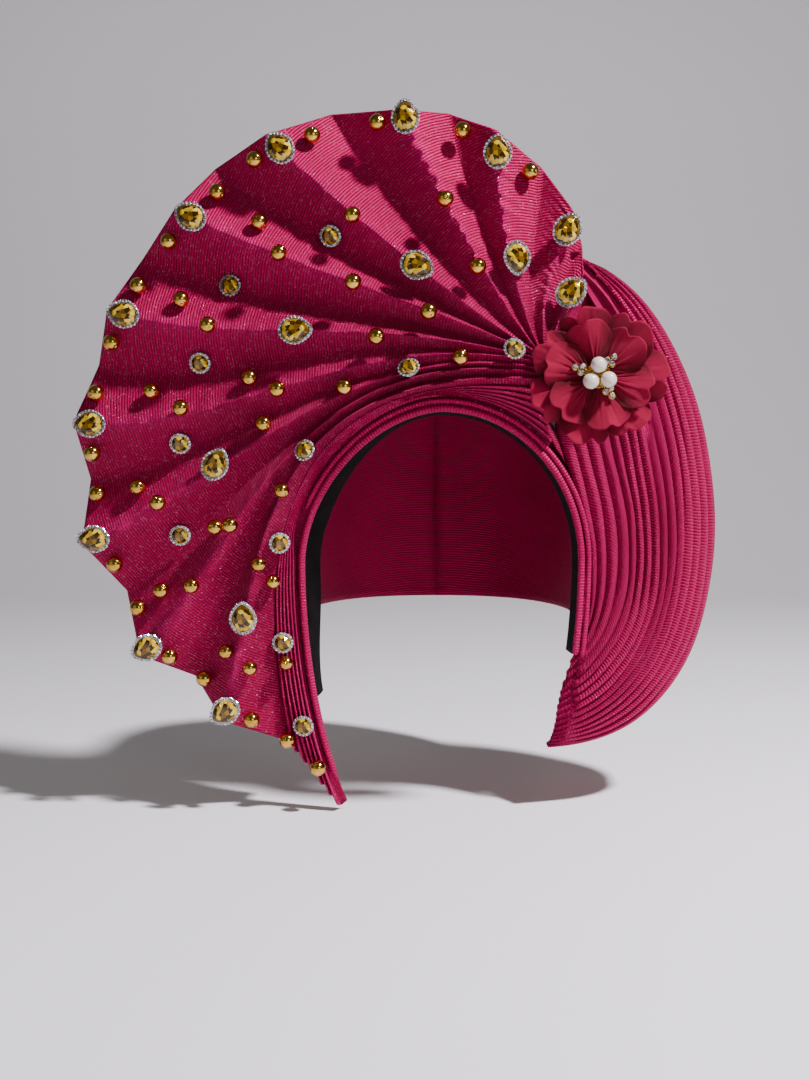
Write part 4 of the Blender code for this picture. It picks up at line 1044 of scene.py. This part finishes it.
pearShape = stoneMesh("pearStone", trim["pearLength"], trim["pearWidth"], trim["narrowing"],
                      trim["pearFacets"], trim["pearCrystals"])
roundShape = stoneMesh("roundStone", trim["round"], trim["round"], 0.0, trim["roundFacets"], trim["roundCrystals"])
kinds = [("pearStone", "stone_", pearShape, trim["pears"]),
         ("roundStone", "round_stone_", roundShape, [(*spot, 90) for spot in trim["rounds"]])]
for title, node, shape, spots in kinds:
    for number, (fold, along, tipDeg) in enumerate(spots, 1):
        _, normal = trimPlace(fold, along)
        seat = seatOf(f"{node}{number}", normal, tipDeg)
        setDown(f"{title}{number}", shape, [f"{node}{number}"], facing(seat, normal, tipDeg))
goldBead = beadMesh(trim["beadRadius"])
for number in range(1, 20):
    nodeName = f"rim_bead_{number}"
    setDown(f"rimBead{number}", goldBead, [nodeName],
            facing(boxMiddle(nodeName), (math.sin(number * 2.3), -1.0, math.cos(number * 1.7))))
surface = clothSurface(fanCloth, browFoldCloth)
for number, (fold, along) in enumerate(trim["innerBeads"], 1):
    here, normal = trimPlace(fold, along)
    size = mix(0.97, 0.88, float(ease((fold - 8.5) / 1.5)))
    reach = trim["beadRadius"] * size * mm
    middle = here + normal * reach
    for _ in range(5):
        middle += normal * max(0.0, reach - surface.find_nearest(middle)[3])
    setDown(f"innerBead{number}", goldBead, [],
            facing(middle, (math.cos(number * 1.9), -1.0, math.sin(number * 2.7))) @ Matrix.Scale(size, 4))
print("trim sewn on")

# studio: pale sweep and soft lamps
def buildFloor():
    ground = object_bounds()[0][2] - studio["floorDrop"]
    profile = [(-2.5, 0.0), (1.0, 0.0)]
    profile += [(1.0 + 0.8 * math.sin(a), 0.8 - 0.8 * math.cos(a)) for a in np.linspace(0.1, math.pi / 2, 12)]
    profile.append((1.8, 3.5))
    grid = np.array([[(x, y, ground + z) for x in np.linspace(-3.5, 3.5, 8)] for y, z in profile])
    finish = newFinish("paleFloor", Roughness=0.85, Base_Color=(*studio["floorColour"], 1))[0]
    mesh = meshFrom("paleFloor", grid.reshape(-1, 3), gridFaces(len(profile), 8), [finish])
    floor = bpy.data.objects.new("paleFloor", mesh)
    bpy.context.scene.collection.objects.link(floor)


def hangLamp(name, place, size, power, colour):
    lamp = bpy.data.lights.new(name, "AREA")
    lamp.shape, lamp.size, lamp.energy, lamp.color = "DISK", size, power, colour
    holder = bpy.data.objects.new(name, lamp)
    aim = Vector(studio["target"]) - Vector(place)
    holder.matrix_world = Matrix.Translation(place) @ aim.to_track_quat("-Z", "Y").to_matrix().to_4x4()
    bpy.context.scene.collection.objects.link(holder)


buildFloor()
for lamp in studio["lamps"]:
    hangLamp(*lamp)
air = bpy.data.worlds.new("paleRoom")
air.use_nodes = True
air.node_tree.nodes["Background"].inputs[0].default_value = (0.95, 0.96, 1.0, 1)
air.node_tree.nodes["Background"].inputs[1].default_value = studio["air"]
bpy.context.scene.world = air
print("studio lit")

bpy.context.view_layer.update()
